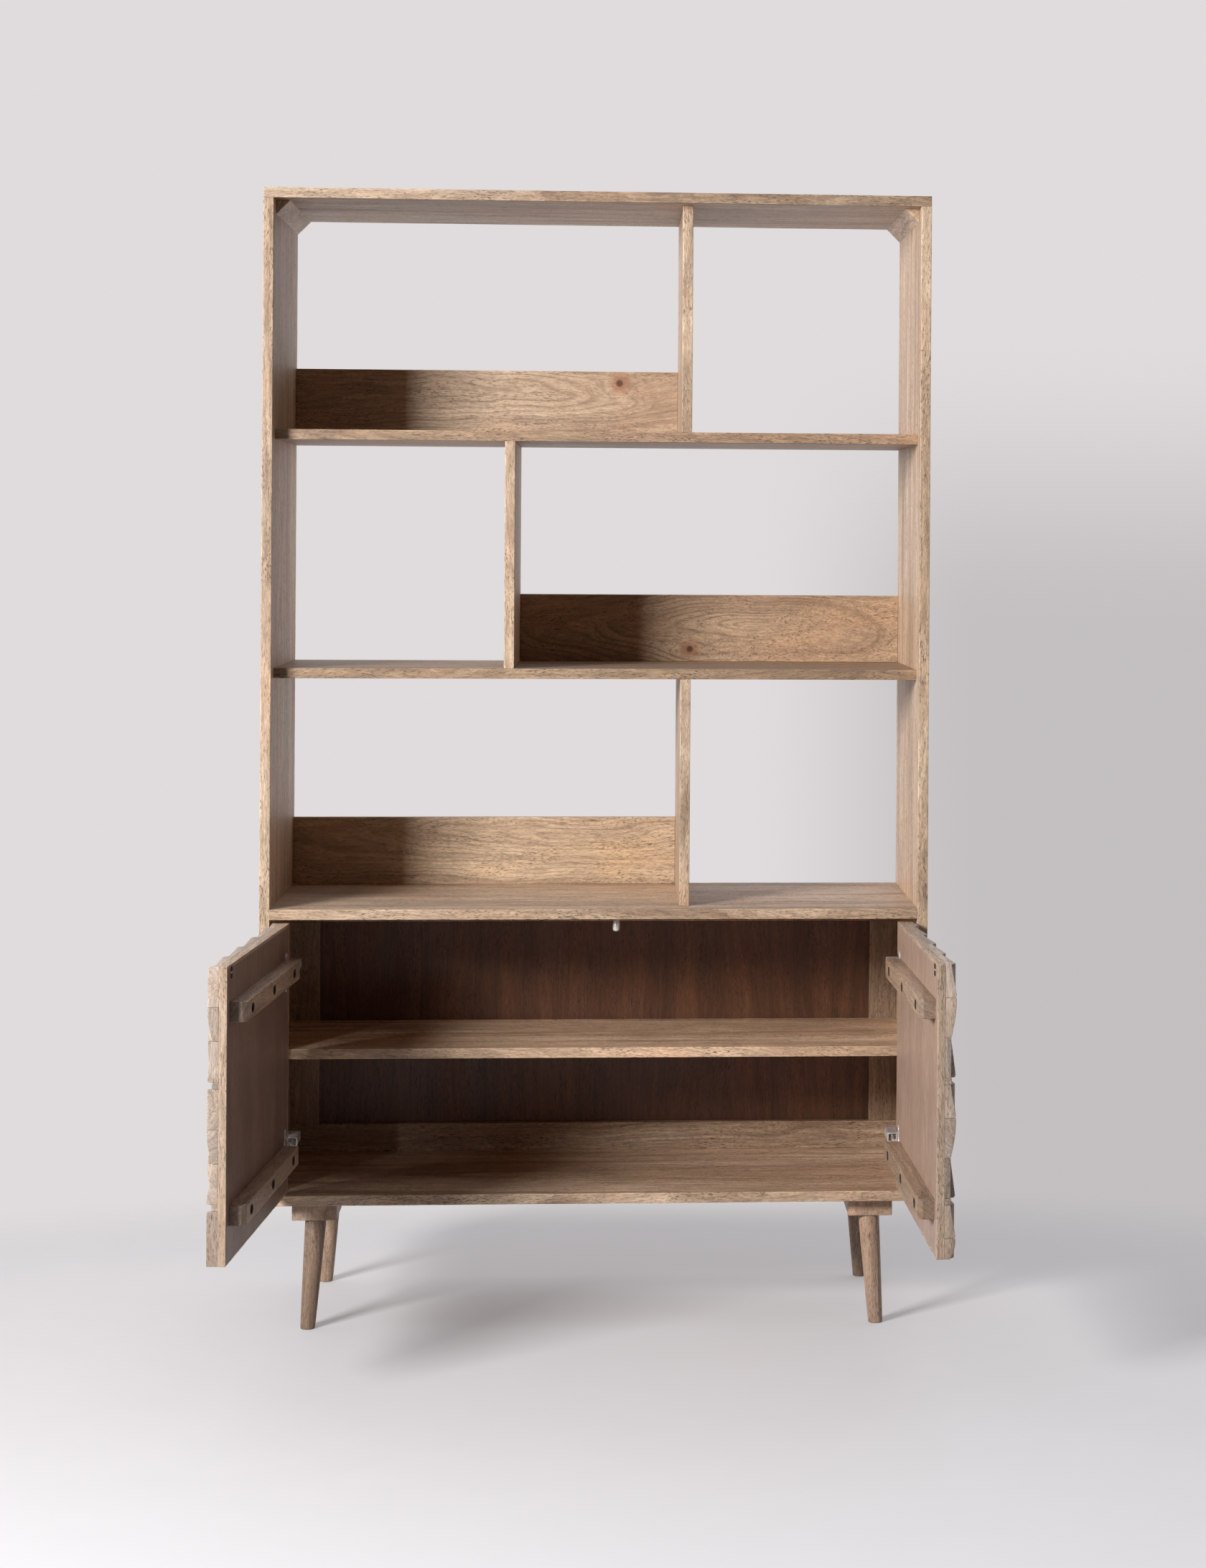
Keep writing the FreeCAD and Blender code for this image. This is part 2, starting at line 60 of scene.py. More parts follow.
def unit(v):
    return v / np.maximum(np.linalg.norm(v, axis=-1, keepdims=True), 1e-12)


def waves(points, seed, wavelength, count=6, spread=(0.6, 1.5)):
    # Smooth random height: a sum of sine waves in random directions, each about one wavelength long.
    rng = np.random.default_rng(seed)
    total = np.zeros(points.shape[:-1])
    for _ in range(count):
        way = unit(rng.normal(size=3))
        scale = 2 * np.pi / (wavelength * rng.uniform(*spread))
        total = total + np.sin(points @ way * scale + rng.uniform(0, 2 * np.pi))
    return total / math.sqrt(count)


def counterClockwise(outline):
    # The sum of the cross products of neighbouring corners is negative where an outline runs clockwise.
    area = sum(a[0] * b[1] - a[1] * b[0] for a, b in zip(outline, outline[1:] + outline[:1]))
    return outline if area > 0 else outline[::-1]


def outlineRings(corners, insets, spacing, arcSteps):
    # Closed outline given as corners (x, y, radius). Each corner is moved inwards along its mitre by the
    # ring's inset and turned into a quadratic curve between its two sides.
    spot = np.array([c[:2] for c in corners], float)
    radius = np.array([c[2] for c in corners], float)
    into = unit(spot - np.roll(spot, 1, axis=0))
    outOf = np.roll(into, -1, axis=0)
    left = np.stack([-into[:, 1], into[:, 0]], 1)
    nextLeft = np.roll(left, -1, axis=0)
    mitre = (left + nextLeft) / (1 + (left * nextLeft).sum(1))[:, None]
    insets = np.asarray(insets, float)
    moved = spot[None] + insets[:, None, None] * mitre[None]
    size = np.maximum(radius[None] - insets[:, None], barLook["leastRadius"] * radius[None])[..., None]
    columns, arris = [], []
    for i in range(len(spot)):
        j = (i + 1) % len(spot)
        end = moved[:, i]
        if radius[i] > 0:
            start = moved[:, i] - into[i] * size[:, i]
            end = moved[:, i] + outOf[i] * size[:, i]
            for t in np.linspace(0, 1, arcSteps + 1):
                columns.append((1 - t) ** 2 * start + 2 * t * (1 - t) * moved[:, i] + t * t * end)
                arris.append(1.0)
        else:
            columns.append(end)
            arris.append(0.0)
        start = moved[:, j] - into[j] * size[:, j]
        long = np.linalg.norm(spot[j] - spot[i]) - radius[i] - radius[j]
        margin = min(barLook["band"], long / 4) if radius[i] > 0 or radius[j] > 0 else 0
        if margin > 0 or long > spacing:
            places = np.linspace(margin, long - margin, max(int(long / spacing), 1) + 1) / long
            for t in places if margin > 0 else places[1:-1]:
                columns.append(end + (start - end) * t)
                arris.append(0.0)
    return np.stack(columns, 1), np.array(arris)


def gridFaces(rows, columns):
    # Quads between neighbouring rings of a tube whose columns close on themselves.
    i, j = np.meshgrid(np.arange(rows - 1), np.arange(columns), indexing="ij")
    nextJ = (j + 1) % columns
    here, above = i * columns, (i + 1) * columns
    return np.stack([here + j, here + nextJ, above + nextJ, above + j], -1).reshape(-1, 4).tolist()


def tubeFaces(rows, columns):
    # The tube's quads, its first ring as a lid and its last ring as the other lid.
    return gridFaces(rows, columns) + [list(range(columns))[::-1],
                                       [(rows - 1) * columns + k for k in range(columns)]]


def inFrame(points, along, start=0.0):
    # Local (along, p, q) points put on the frame's axes.
    placed = np.empty_like(points)
    for k, axis in enumerate(axisOrder[along]):
        placed[..., axis] = points[..., k]
    placed[..., axisOrder[along][0]] += start
    return placed


def milledBar(corners, along, start, long, rounding=1.0 * mm, spacing=25 * mm, step=12 * mm, wear=0.25 * mm,
              seed=0, arcSteps=3):
    # An outline in (p, q) carried along an axis. Its first and last rings shrink on a quarter circle, and
    # its arrises are worn back by smooth noise. The third result is 1 on the arrises and 0 elsewhere.
    quarter = np.linspace(0, np.pi / 2, 4)
    endPlace = rounding * (1 - np.cos(quarter))
    endInset = rounding * (1 - np.sin(quarter))
    count = max(int((long - 2 * rounding) / step), 1)
    margin = min(barLook["band"], long / 8)
    middle = np.linspace(rounding, long - rounding, count + 1)[1:-1]
    middle = np.concatenate([[rounding + margin], middle, [long - rounding - margin]])
    places = np.concatenate([endPlace, middle, long - endPlace[::-1]])
    inset = np.concatenate([endInset, np.zeros(len(middle)), endInset[::-1]])
    corners = counterClockwise(corners)
    rings, arris = outlineRings(corners, inset, spacing, arcSteps)
    inner, _ = outlineRings(corners, inset + barLook["probe"], spacing, arcSteps)
    rows, columns = rings.shape[:2]
    points = np.concatenate([np.broadcast_to(places[:, None, None], (rows, columns, 1)), rings], 2)
    edge = np.maximum(np.broadcast_to(arris[None], (rows, columns)), (inset > 0.05 * rounding)[:, None] * 1.0)
    dents = (waves(points, seed, barLook["shortDent"]) * barLook["shortShare"]
             + waves(points, seed + 1, barLook["longDent"]) * barLook["longShare"])
    worn = edge * np.clip(dents, 0, barLook["deepest"]) * wear
    points[..., 1:] += unit(inner - rings) * worn[..., None]
    return inFrame(points.reshape(-1, 3), along, start), tubeFaces(rows, columns), edge.reshape(-1)


def metalBar(corners, along, start, long, rounding=0.3 * mm, spacing=8 * mm, shift=(0.0, 0.0, 0.0)):
    # A milled bar without wear or grain.
    points, faces, _ = milledBar(corners, along, start, long, rounding, spacing, wear=0.0)
    return points + np.array(shift), faces, {}


def turnedBar(profile, around, along, place, slot=0.0):
    # (distance, radius) pairs turned about an axis through a place. A slot moves the two halves apart.
    profile = np.array(profile, float)
    angle = np.arange(around) / around * 2 * np.pi
    points = np.stack([np.broadcast_to(profile[:, :1], (len(profile), around)),
                       profile[:, 1:] * np.cos(angle), profile[:, 1:] * np.sin(angle)], -1).reshape(-1, 3)
    points[:, 2] += np.where(points[:, 2] > -1e-9, slot, -slot)
    return inFrame(points, along) + np.array(place), tubeFaces(len(profile), around), {}


def boxCorners(p0, p1, q0, q1, radius=1.0 * mm):
    return [(p0, q0, radius), (p1, q0, radius), (p1, q1, radius), (p0, q1, radius)]


def joined(parts):
    # Several shapes made into one.
    points, faces, layers, count = [], [], {}, 0
    for part in parts:
        points.append(part[0])
        faces += [[k + count for k in face] for face in part[1]]
        for name, values in part[2].items():
            layers.setdefault(name, []).append(values)
        count += len(part[0])
    return np.concatenate(points), faces, {name: np.concatenate(v) for name, v in layers.items()}


def linked(name, data):
    thing = bpy.data.objects.new(name, data)
    bpy.context.collection.objects.link(thing)
    return thing


def meshThing(name, points, faces):
    mesh = bpy.data.meshes.new(name)
    mesh.from_pydata(np.asarray(points, float).tolist(), [], faces)
    return linked(name, mesh)


def newPiece(name, shape, material, body, node, sharp=35):
    # A piece that rides on a body and stands for a node; edges past the sharp angle stay crisp.
    points, faces, layers = shape
    piece = meshThing(name, points, faces)
    mesh = piece.data
    for layer, values in layers.items():
        isVector = values.ndim == 2
        attribute = mesh.attributes.new(layer, "FLOAT_VECTOR" if isVector else "FLOAT", "POINT")
        attribute.data.foreach_set("vector" if isVector else "value", values.ravel())
    mesh.validate()
    mesh.shade_smooth()
    mesh.set_sharp_from_angle(angle=math.radians(sharp))
    mesh.materials.append(material)
    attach(piece, body)
    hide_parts(node)
    return piece


def secondMaterial(piece, material, where):
    # The faces picked out take a second material.
    piece.data.materials.append(material)
    if len(piece.data.polygons) == len(where):
        piece.data.polygons.foreach_set("material_index", where.astype(np.int32))


def boxOf(node):
    return (np.array(corner, float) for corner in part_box(node))


# Materials, built by short calls on a node tree
def startMaterial(name):
    material = bpy.data.materials.new(name)
    material.use_nodes = True
    material.node_tree.nodes.clear()
    return material, material.node_tree


def addNode(tree, kind, inputs=None, **settings):
    node = tree.nodes.new("ShaderNode" + kind)
    for key, value in settings.items():
        setattr(node, key, value)
    for key, value in (inputs or {}).items():
        if isinstance(value, bpy.types.NodeSocket):
            tree.links.new(value, node.inputs[key])
        else:
            node.inputs[key].default_value = value
    return node


def calc(tree, operation, a, b=0.0):
    return addNode(tree, "Math", {0: a, 1: b}, operation=operation).outputs[0]


def times(tree, a, b):
    return calc(tree, "MULTIPLY", a, b)


def plus(tree, a, b):
    return calc(tree, "ADD", a, b)


def greater(tree, a, b):
    return calc(tree, "MAXIMUM", a, b)


def vectorCalc(tree, operation, a, b=(0.0, 0.0, 0.0)):
    node = addNode(tree, "VectorMath", {0: a, 1: b}, operation=operation)
    return node.outputs["Value" if operation == "LENGTH" else "Vector"]


def noise(tree, vector, scale=None, detail=2.0, roughness=0.5, distortion=0.0, output="Fac"):
    # Noise over a vector, which three factors stretch first where they are given.
    if scale:
        vector = vectorCalc(tree, "MULTIPLY", vector, scale)
    node = addNode(tree, "TexNoise", {
        "Vector": vector, "Scale": 1.0, "Detail": detail, "Roughness": roughness, "Distortion": distortion})
    return node.outputs[output]


def ranged(tree, value, low, high, outLow=0.0, outHigh=1.0, smooth=True):
    return addNode(tree, "MapRange", {0: value, 1: low, 2: high, 3: outLow, 4: outHigh},
                   interpolation_type="SMOOTHSTEP" if smooth else "LINEAR").outputs[0]


def mixed(tree, factor, a, b, blend="MIX"):
    a, b = (value if isinstance(value, bpy.types.NodeSocket) else (*value, 1.0) for value in (a, b))
    node = addNode(tree, "Mix", {0: factor, 6: a, 7: b}, data_type="RGBA", blend_type=blend)
    return node.outputs[2]


def tinted(tree, colour, level):
    # The colour times a grey level.
    grey = addNode(tree, "CombineColor", {0: level, 1: level, 2: level}).outputs[0]
    return mixed(tree, 1.0, colour, grey, "MULTIPLY")


def finished(tree, kind, inputs, output="OutputMaterial"):
    shader = addNode(tree, kind, inputs)
    addNode(tree, output, {0: shader.outputs[0]})


woodLook = {
    "pale": (0.585, 0.432, 0.302),      # golden earlywood
    "mid": (0.435, 0.302, 0.204),
    "deep": (0.240, 0.148, 0.090),      # streaks of latewood
    "warm": (0.540, 0.335, 0.215),      # pink patches
    "pore": (0.110, 0.066, 0.040),
    "streaks": 0.62,                    # how far the streaks reach from pale to deep
    "ringScale": 95.0,                  # streaks to the metre across the rings
    "ringPitch": 0.0065,                # distance between two drawn growth rings
    "rings": 0.30,
    "pores": 0.78,
    "fibre": 0.22,                      # lighter and darker fibres, either way
    "rough": 0.46,
    "arris": 0.12,                      # how much paler worn edges are
}
grainLook = {
    # changes to the metre (along, across, through), and for the two bends how far they reach in metres
    "bend": ((2.6, 8.0, 8.0), 2.0, 0.55, 0.055), "wobble": ((16.0, 45.0, 45.0), 1.0, 0.5, 0.005),
    "patches": (4.0, 13.0, 13.0), "fibres": (70.0, 640.0, 640.0), "strands": (16.0, 190.0, 190.0),
    "shortPores": (140.0, 760.0, 760.0), "longPores": (58.0, 430.0, 430.0), "crowds": (9.0, 30.0, 30.0),
    # where noise starts and stops to show as each of these, and where given the values it runs between
    "bandFade": (0.34, 0.66), "patchFade": (0.46, 0.74, 0.0, 0.75), "streakFade": (0.42, 0.72),
    "ringFade": (0.25, 1.0), "ringHide": (0.62, 0.40), "ringWander": 5.0,
    "fibreFade": (0.28, 0.72), "strandFade": (0.3, 0.7), "strandShare": 0.75,
    "shortFade": (0.56, 0.68), "longFade": (0.585, 0.70), "crowdFade": (0.35, 0.65, 0.45, 1.0),
    "ringOnward": 1.5, "ringAcross": 3.0, "figure": (None, 5.0, 0.62, 0.15), "bands": (1.0, 0.20, 1.0),
    "bump": 0.35, "bumpHigh": 0.35 * mm, "fibreHigh": 0.35,
    "poreRough": 0.2, "roughFade": (0.2, 0.8), "roughReach": (-0.05, 0.06),
}
knotLook = {
    # red surround, then core: where it starts and stops to fade in the knot's size, strength and colour
    "rings": ((0.6, 2.4, 0.62, (0.330, 0.130, 0.062)), (0.35, 0.75, 0.92, (0.085, 0.032, 0.016))),
    "reach": 3.0, "fall": 1.5, "push": 0.8, "flatter": 0.5,     # how it pushes the grain aside
}


def woodMaterial(name, knot=None, **changes):
    # Grain coordinates are (along, across, through) in metres, kept in each piece's own attribute. The
    # distance from the board's heart, bent by slow noise and pushed aside by a knot (place along, place
    # across, size), drives the rings and streaks; noise stretched along the grain makes fibres and pores.
    look = {**grainLook, **woodLook, **changes}
    material, tree = startMaterial(name)
    grain = addNode(tree, "Attribute", attribute_name="grain").outputs["Vector"]
    tone = addNode(tree, "Attribute", attribute_name="tone").outputs["Fac"]
    arris = addNode(tree, "Attribute", attribute_name="arris").outputs["Fac"]
    bent = grain
    for scale, detail, roughness, reach in (look["bend"], look["wobble"]):
        drift = noise(tree, grain, scale, detail, roughness, output="Color")
        drift = vectorCalc(tree, "ADD", drift, (-0.5, -0.5, -0.5))
        bent = vectorCalc(tree, "ADD", bent, vectorCalc(tree, "MULTIPLY", drift, (0.0, reach, reach)))
    if knot:
        x, y, size = knot
        away = vectorCalc(tree, "MULTIPLY", vectorCalc(tree, "ADD", grain, (-x, -y, 0.0)), (1.0, 1.0, 0.0))
        far = vectorCalc(tree, "LENGTH", away)
        wide = vectorCalc(tree, "LENGTH", vectorCalc(tree, "MULTIPLY", away, (knotLook["flatter"], 1.0, 0.0)))
        near = calc(tree, "POWER", calc(tree, "DIVIDE", wide, size * knotLook["reach"]), knotLook["fall"])
        near = calc(tree, "EXPONENT", times(tree, near, -1.0))
        push = vectorCalc(tree, "MULTIPLY", away, (0.0, knotLook["push"], 0.0))
        bent = vectorCalc(tree, "SUBTRACT", bent, vectorCalc(tree, "MULTIPLY", push, near))
    onward, across, through = addNode(tree, "SeparateXYZ", {0: bent}).outputs
    flat = addNode(tree, "CombineXYZ", {0: 0.0, 1: across, 2: through}).outputs[0]
    heart = vectorCalc(tree, "LENGTH", flat)
    ring = addNode(tree, "CombineXYZ", {
        0: times(tree, onward, look["ringOnward"]), 1: times(tree, heart, look["ringScale"]),
        2: times(tree, across, look["ringAcross"])}).outputs[0]
    figure = noise(tree, ring, *look["figure"])
    band = noise(tree, ring, look["bands"])
    patch = noise(tree, grain, look["patches"], 3.0, 0.6)
    colour = mixed(tree, ranged(tree, band, *look["bandFade"]), look["pale"], look["mid"])
    colour = mixed(tree, ranged(tree, patch, *look["patchFade"]), colour, look["warm"])
    streak = times(tree, ranged(tree, figure, *look["streakFade"]), look["streaks"])
    colour = mixed(tree, streak, colour, look["deep"])
    wave = calc(tree, "SINE", plus(tree, times(tree, heart, 2 * math.pi / look["ringPitch"]),
                                   times(tree, figure, look["ringWander"])))
    drawn = times(tree, ranged(tree, wave, *look["ringFade"]), ranged(tree, patch, *look["ringHide"]))
    colour = mixed(tree, times(tree, drawn, look["rings"]), colour, look["deep"])
    fibre = noise(tree, bent, look["fibres"], 3.0, 0.62)
    strand = noise(tree, bent, look["strands"], 2.0, 0.55)
    fine, coarse = look["fibre"], look["fibre"] * look["strandShare"]
    light = times(tree, ranged(tree, fibre, *look["fibreFade"], 1 - fine, 1 + fine, False),
                  ranged(tree, strand, *look["strandFade"], 1 - coarse, 1 + coarse, False))
    colour = tinted(tree, colour, light)
    crowd = ranged(tree, noise(tree, grain, look["crowds"]), *look["crowdFade"])
    dashes = greater(tree, ranged(tree, noise(tree, bent, look["shortPores"], 1.0), *look["shortFade"]),
                     ranged(tree, noise(tree, bent, look["longPores"]), *look["longFade"]))
    dashes = times(tree, times(tree, dashes, crowd), look["pores"])
    colour = mixed(tree, dashes, colour, look["pore"])
    if knot:
        for start, stop, strength, tint in knotLook["rings"]:
            fade = ranged(tree, far, size * start, size * stop, 1.0, 0.0)
            colour = mixed(tree, times(tree, fade, strength), colour, tint)
    worn = plus(tree, times(tree, arris, look["arris"]), 1.0)
    colour = tinted(tree, colour, times(tree, worn, plus(tree, tone, 1.0)))
    height = calc(tree, "SUBTRACT", times(tree, fibre, look["fibreHigh"]), dashes)
    bump = addNode(tree, "Bump", {"Height": height, "Strength": look["bump"], "Distance": look["bumpHigh"]})
    smooth, dull = (look["rough"] + change for change in look["roughReach"])
    rough = plus(tree, times(tree, dashes, look["poreRough"]),
                 ranged(tree, patch, *look["roughFade"], smooth, dull))
    finished(tree, "BsdfPrincipled", {
        "Base Color": colour, "Roughness": rough, "Normal": bump.outputs[0], "Specular IOR Level": 0.5})
    return material


metalLook = {
    "smudges": (90.0, 90.0, 90.0), "fade": (0.3, 0.7), "shade": (0.85, 1.05),
    "scratchRough": (-0.08, 0.10), "smudgeRough": (-0.04, 0.08), "bump": 0.12, "bumpHigh": 0.1 * mm,
}


def metalMaterial(name, colour, rough, brushed, metallic=1.0):
    # Fine scratches from stretched noise over the piece, and smudges from slow noise.
    look = metalLook
    material, tree = startMaterial(name)
    place = addNode(tree, "TexCoord").outputs["Object"]
    scratch = noise(tree, place, brushed, 3.0, 0.6)
    smudge = noise(tree, place, look["smudges"], 3.0, 0.5)
    bump = addNode(tree, "Bump", {"Height": scratch, "Strength": look["bump"], "Distance": look["bumpHigh"]})
    smooth, dull = (rough + change for change in look["smudgeRough"])
    finished(tree, "BsdfPrincipled", {
        "Base Color": tinted(tree, colour, ranged(tree, smudge, *look["fade"], *look["shade"], False)),
        "Roughness": plus(tree, ranged(tree, scratch, *look["fade"], *look["scratchRough"], False),
                          ranged(tree, smudge, *look["fade"], smooth, dull, False)),
        "Normal": bump.outputs[0], "Metallic": metallic})
    return material


# Boards of the case
def grainLayers(points, low, high, along, heart, shift, tone, edge=None, climb=(0.0, 0.0)):
    # Grain coordinates of a board: along it, across its middle line from the heart, and through it. The
    # heart may climb through the board along its length, which draws nested arches on its face.
    first = axisOrder[along][0]
    wide, thin = sorted((k for k in range(3) if k != first), key=lambda k: low[k] - high[k])
    middle = (low + high) / 2
    risen = climb[0] * (points[:, first] - climb[1])
    grain = np.stack([points[:, first] + shift, points[:, wide] - middle[wide] - heart[0],
                      points[:, thin] - middle[thin] + heart[1] + risen], 1)
    edge = np.zeros(len(points)) if edge is None else edge
    return {"grain": grain, "arris": edge, "tone": np.full(len(points), float(tone))}


def board(low, high, along, heart, shift, tone, seed, radius=1.0 * mm, ends=1.0 * mm, wear=0.25 * mm,
          corners=None, climb=(0.0, 0.0)):
    # A sawn board between two corners of its box, or an outline of its own, with its grain along one axis.
    low, high = np.array(low, float), np.array(high, float)
    a, p, q = axisOrder[along]
    outline = corners or boxCorners(low[p], high[p], low[q], high[q], radius)
    points, faces, edge = milledBar(outline, along, low[a], high[a] - low[a], ends, wear=wear, seed=seed)
    return points, faces, grainLayers(points, low, high, along, heart, shift, tone, edge, climb)


def caseBoard(name, node, low, high, along, material, heart, tone=0.0, shift=None, slotName="mango_wood",
              **shape):
    # A board of the case; without a shift its own seed says which stretch of grain it shows.
    seed = int(seeds.integers(1, 10 ** 6))
    shift = seed % 997 * 0.37 if shift is None else shift
    sawn = board(low, high, along, heart, shift, tone, seed, **shape)
    newPiece(name, sawn, material, "root", node)


def camel(node):
    first, *rest = node.split("_")
    return first + "".join(word.title() for word in rest)


lively = {"streaks": 0.76, "pores": 0.90, "fibre": 0.28}      # stronger figure on the case's boards
caseWood = woodMaterial("mangoBoards", pale=(0.635, 0.470, 0.332), mid=(0.452, 0.313, 0.210), **lively)
panelWood = woodMaterial("mangoPanels", pale=(0.665, 0.492, 0.350), mid=(0.425, 0.288, 0.190), ringScale=42.0,
                         **{**lively, "streaks": 0.85})
shelfWood = woodMaterial("mangoShelves", pale=(0.585, 0.395, 0.250), mid=(0.415, 0.265, 0.165),
                         **{**lively, "streaks": 0.85, "pores": 0.95})
upperRailWood = woodMaterial("upperRailWood", (0.0345, 0.0185, 0.011), ringScale=120.0, rings=0.45)
middleRailWood = woodMaterial("middleRailWood", (0.162, -0.040, 0.010), rings=0.8, ringScale=110.0,
                              pale=(0.56, 0.385, 0.25), mid=(0.42, 0.275, 0.175), warm=(0.56, 0.345, 0.205))
lowerRailWood = woodMaterial("lowerRailWood", ringScale=80.0, rings=0.4, pale=(0.62, 0.450, 0.300),
                             warm=(0.68, 0.445, 0.245))
caseLook = {
    # node: wood, grain axis, tone, heart (across, below), climb of the heart and where it starts
    "top_panel": (caseWood, "x", 0.00, (0.09, 0.03), (0.03, 0.1)),
    "left_side": (caseWood, "z", 0.02, (-0.06, 0.05), (0.02, 0.9)),
    "right_side": (caseWood, "z", 0.26, (0.10, 0.04), (-0.03, 1.2)),
    "upper_shelf": (shelfWood, "x", -0.09, (0.03, 0.04), (0.05, -0.2)),
    "middle_shelf": (shelfWood, "x", -0.17, (-0.08, 0.03), (-0.06, 0.2)),
    "cabinet_top": (panelWood, "x", 0.15, (0.05, 0.06), (0.05, 0.3)),
    "bottom_panel": (panelWood, "x", 0.22, (-0.04, 0.03), (-0.06, 0.1)),
    "cabinet_shelf": (panelWood, "x", 0.54, (0.06, 0.05), (0.06, -0.1)),
    "upper_divider": (caseWood, "z", 0.18, (0.05, 0.04), (0.05, 1.6)),
    "middle_divider": (caseWood, "z", 0.14, (-0.07, 0.04), (0.05, 1.3)),
    "lower_divider": (caseWood, "z", 0.10, (0.04, 0.05), (-0.05, 0.9)),
    "upper_back_rail": (upperRailWood, "x", 0.05, (0.02, 0.03), (0.06, -0.35)),
    "middle_back_rail": (middleRailWood, "x", 0.00, (0.003, 0.002), (0.20, 0.24)),
    "lower_back_rail": (lowerRailWood, "x", 0.06, (0.03, 0.02), (-0.07, 0.0)),
}
butted = ("upper_shelf", "middle_shelf", "cabinet_top", "bottom_panel", "cabinet_shelf")
between = {"upper_divider": ("upper_shelf", "top_panel"), "middle_divider": ("middle_shelf", "upper_shelf"),
           "lower_divider": ("cabinet_top", "middle_shelf")}
for node, (wood, along, tone, heart, climb) in caseLook.items():
    low, high = boxOf(node)
    if node in butted:                  # tongues in the sides' grooves stay out of sight
        low[0], high[0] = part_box("left_side")[1][0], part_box("right_side")[0][0]
    if node in between:
        low[2], high[2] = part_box(between[node][0])[1][2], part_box(between[node][1])[0][2]
    caseBoard(camel(node) + "Wood", node, low, high, along, wood, heart, tone,
              0.0 if "rail" in node else None,      # knots sit at places along their rail
              climb=climb, ends=0.15 * mm if node in butted else 1.0 * mm)
print("case boards built")

# Cabinet back
backLook = {"screws": 5, "head": 4.0 * mm, "headHigh": 0.5 * mm, "sink": 4.6 * mm, "sunk": 0.6 * mm,
            "edge": 0.5 * mm, "wear": 0.1 * mm}
frameWood = woodMaterial("mangoBackFrame", pale=(0.36, 0.25, 0.165), mid=(0.27, 0.18, 0.115),
                         deep=(0.15, 0.095, 0.06), pores=0.8)
backWood = woodMaterial("stainedBack", pale=(0.165, 0.068, 0.030), mid=(0.120, 0.047, 0.022),
                        deep=(0.060, 0.024, 0.012), warm=(0.18, 0.070, 0.028), pore=(0.035, 0.015, 0.008),
                        ringScale=60.0, rings=0.15, rough=0.42)
for node in ("left_back_stile", "right_back_stile", "lower_back_frame_rail", "upper_back_frame_rail"):
    along, wood, tone = ("x", caseWood, -0.10) if "rail" in node else ("z", frameWood, 0.0)
    caseBoard(camel(node) + "Wood", node, *boxOf(node), along, wood, (0.05, 0.03), tone, climb=(0.06, 0.2))

# Corner blocks, whose outline runs in (z, x) with its right angle in the corner under the top
for side in ("left", "right"):
    low, high = boxOf(side + "_corner_brace")
    wall, free = (low[0], high[0]) if side == "left" else (high[0], low[0])
    corners = [(z, x, 0.6 * mm) for z, x in ((low[2], wall), (high[2], wall), (high[2], free))]
    caseBoard(side + "CornerBlock", side + "_corner_brace", low, high, "y", caseWood, (0.03, 0.02), 0.06,
              corners=corners)

# Legs and runners
legLook = {
    "foot": 12.0 * mm, "top": 17.5 * mm, "swell": 0.25 * mm, "dents": 0.05 * mm, "dentLong": 30 * mm,
    "leanX": 11.0 * mm, "leanY": 17.0 * mm, "around": 56, "rings": 44, "runnerHigh": 30.0 * mm,
    "soleAt": (0, 0.0015, 0.004, 0.009),     # shares of the leg's length where the sole's edge is rounded
    "soleCut": (1.5 * mm, 0.7 * mm, 0.25 * mm, 0.05 * mm), "heart": (0.03, 0.04),
    # both runners are lightened, the right one most, as painted light on faces the bottom panel shades
    "runnerPaintedLight": {"left": 0.28, "right": 0.65},
    # the front left leg is darker as painted shade from the open left door
    "tone": {"front_left": -0.36, "back_left": -0.10, "front_right": 0.0, "back_right": -0.10},
}
legWood = woodMaterial("mangoLegs", pale=(0.56, 0.40, 0.29), mid=(0.42, 0.27, 0.18), deep=(0.24, 0.14, 0.09),
                       ringScale=220.0)
runnerWood = woodMaterial("mangoRunners", pale=(0.40, 0.29, 0.21), mid=(0.29, 0.19, 0.13),
                          deep=(0.16, 0.10, 0.07))
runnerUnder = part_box("left_leg_runner")[1][2] - legLook["runnerHigh"]


def legPiece(ends, side):
    # Tapered round leg about a leaning line: radius falls from top to foot with a slight swell, and the
    # last bit rounds over into the sole.
    look, node = legLook, "%s_%s_leg" % (ends, side)
    low, high = boxOf(node)
    foot = np.array([low[0] + look["foot"] if side == "left" else high[0] - look["foot"],
                     low[1] + look["foot"] if ends == "front" else high[1] - look["foot"], 0.0])
    lean = np.array([look["leanX"] if side == "left" else -look["leanX"],
                     look["leanY"] if ends == "front" else -look["leanY"], runnerUnder])
    t = np.concatenate([look["soleAt"], np.linspace(0.02, 1.0, look["rings"])])
    radius = look["foot"] + (look["top"] - look["foot"]) * t + look["swell"] * np.sin(t * np.pi)
    radius[:4] -= np.array(look["soleCut"])
    angle = np.arange(look["around"]) / look["around"] * 2 * np.pi
    ring = np.stack([np.cos(angle), np.sin(angle), 0 * angle], 1)
    points = (foot + t[:, None] * lean)[:, None] + radius[:, None, None] * ring[None]
    dents = waves(points, len(node), look["dentLong"]) * look["dents"]
    points[..., :2] += ring[None, :, :2] * dents[..., None]
    faces = tubeFaces(*points.shape[:2])
    points = points.reshape(-1, 3)
    away = points - foot
    shift = len(node) * 0.61 + (2.0 if side == "right" else 0.0)
    grain = np.stack([away[:, 2] + shift, away[:, 0] + look["heart"][0], away[:, 1] + look["heart"][1]], 1)
    layers = {"grain": grain, "arris": np.zeros(len(points)),
              "tone": np.full(len(points), look["tone"][ends + "_" + side])}
    newPiece(ends + side.title() + "Leg", (points, faces, layers), legWood, "root", node)


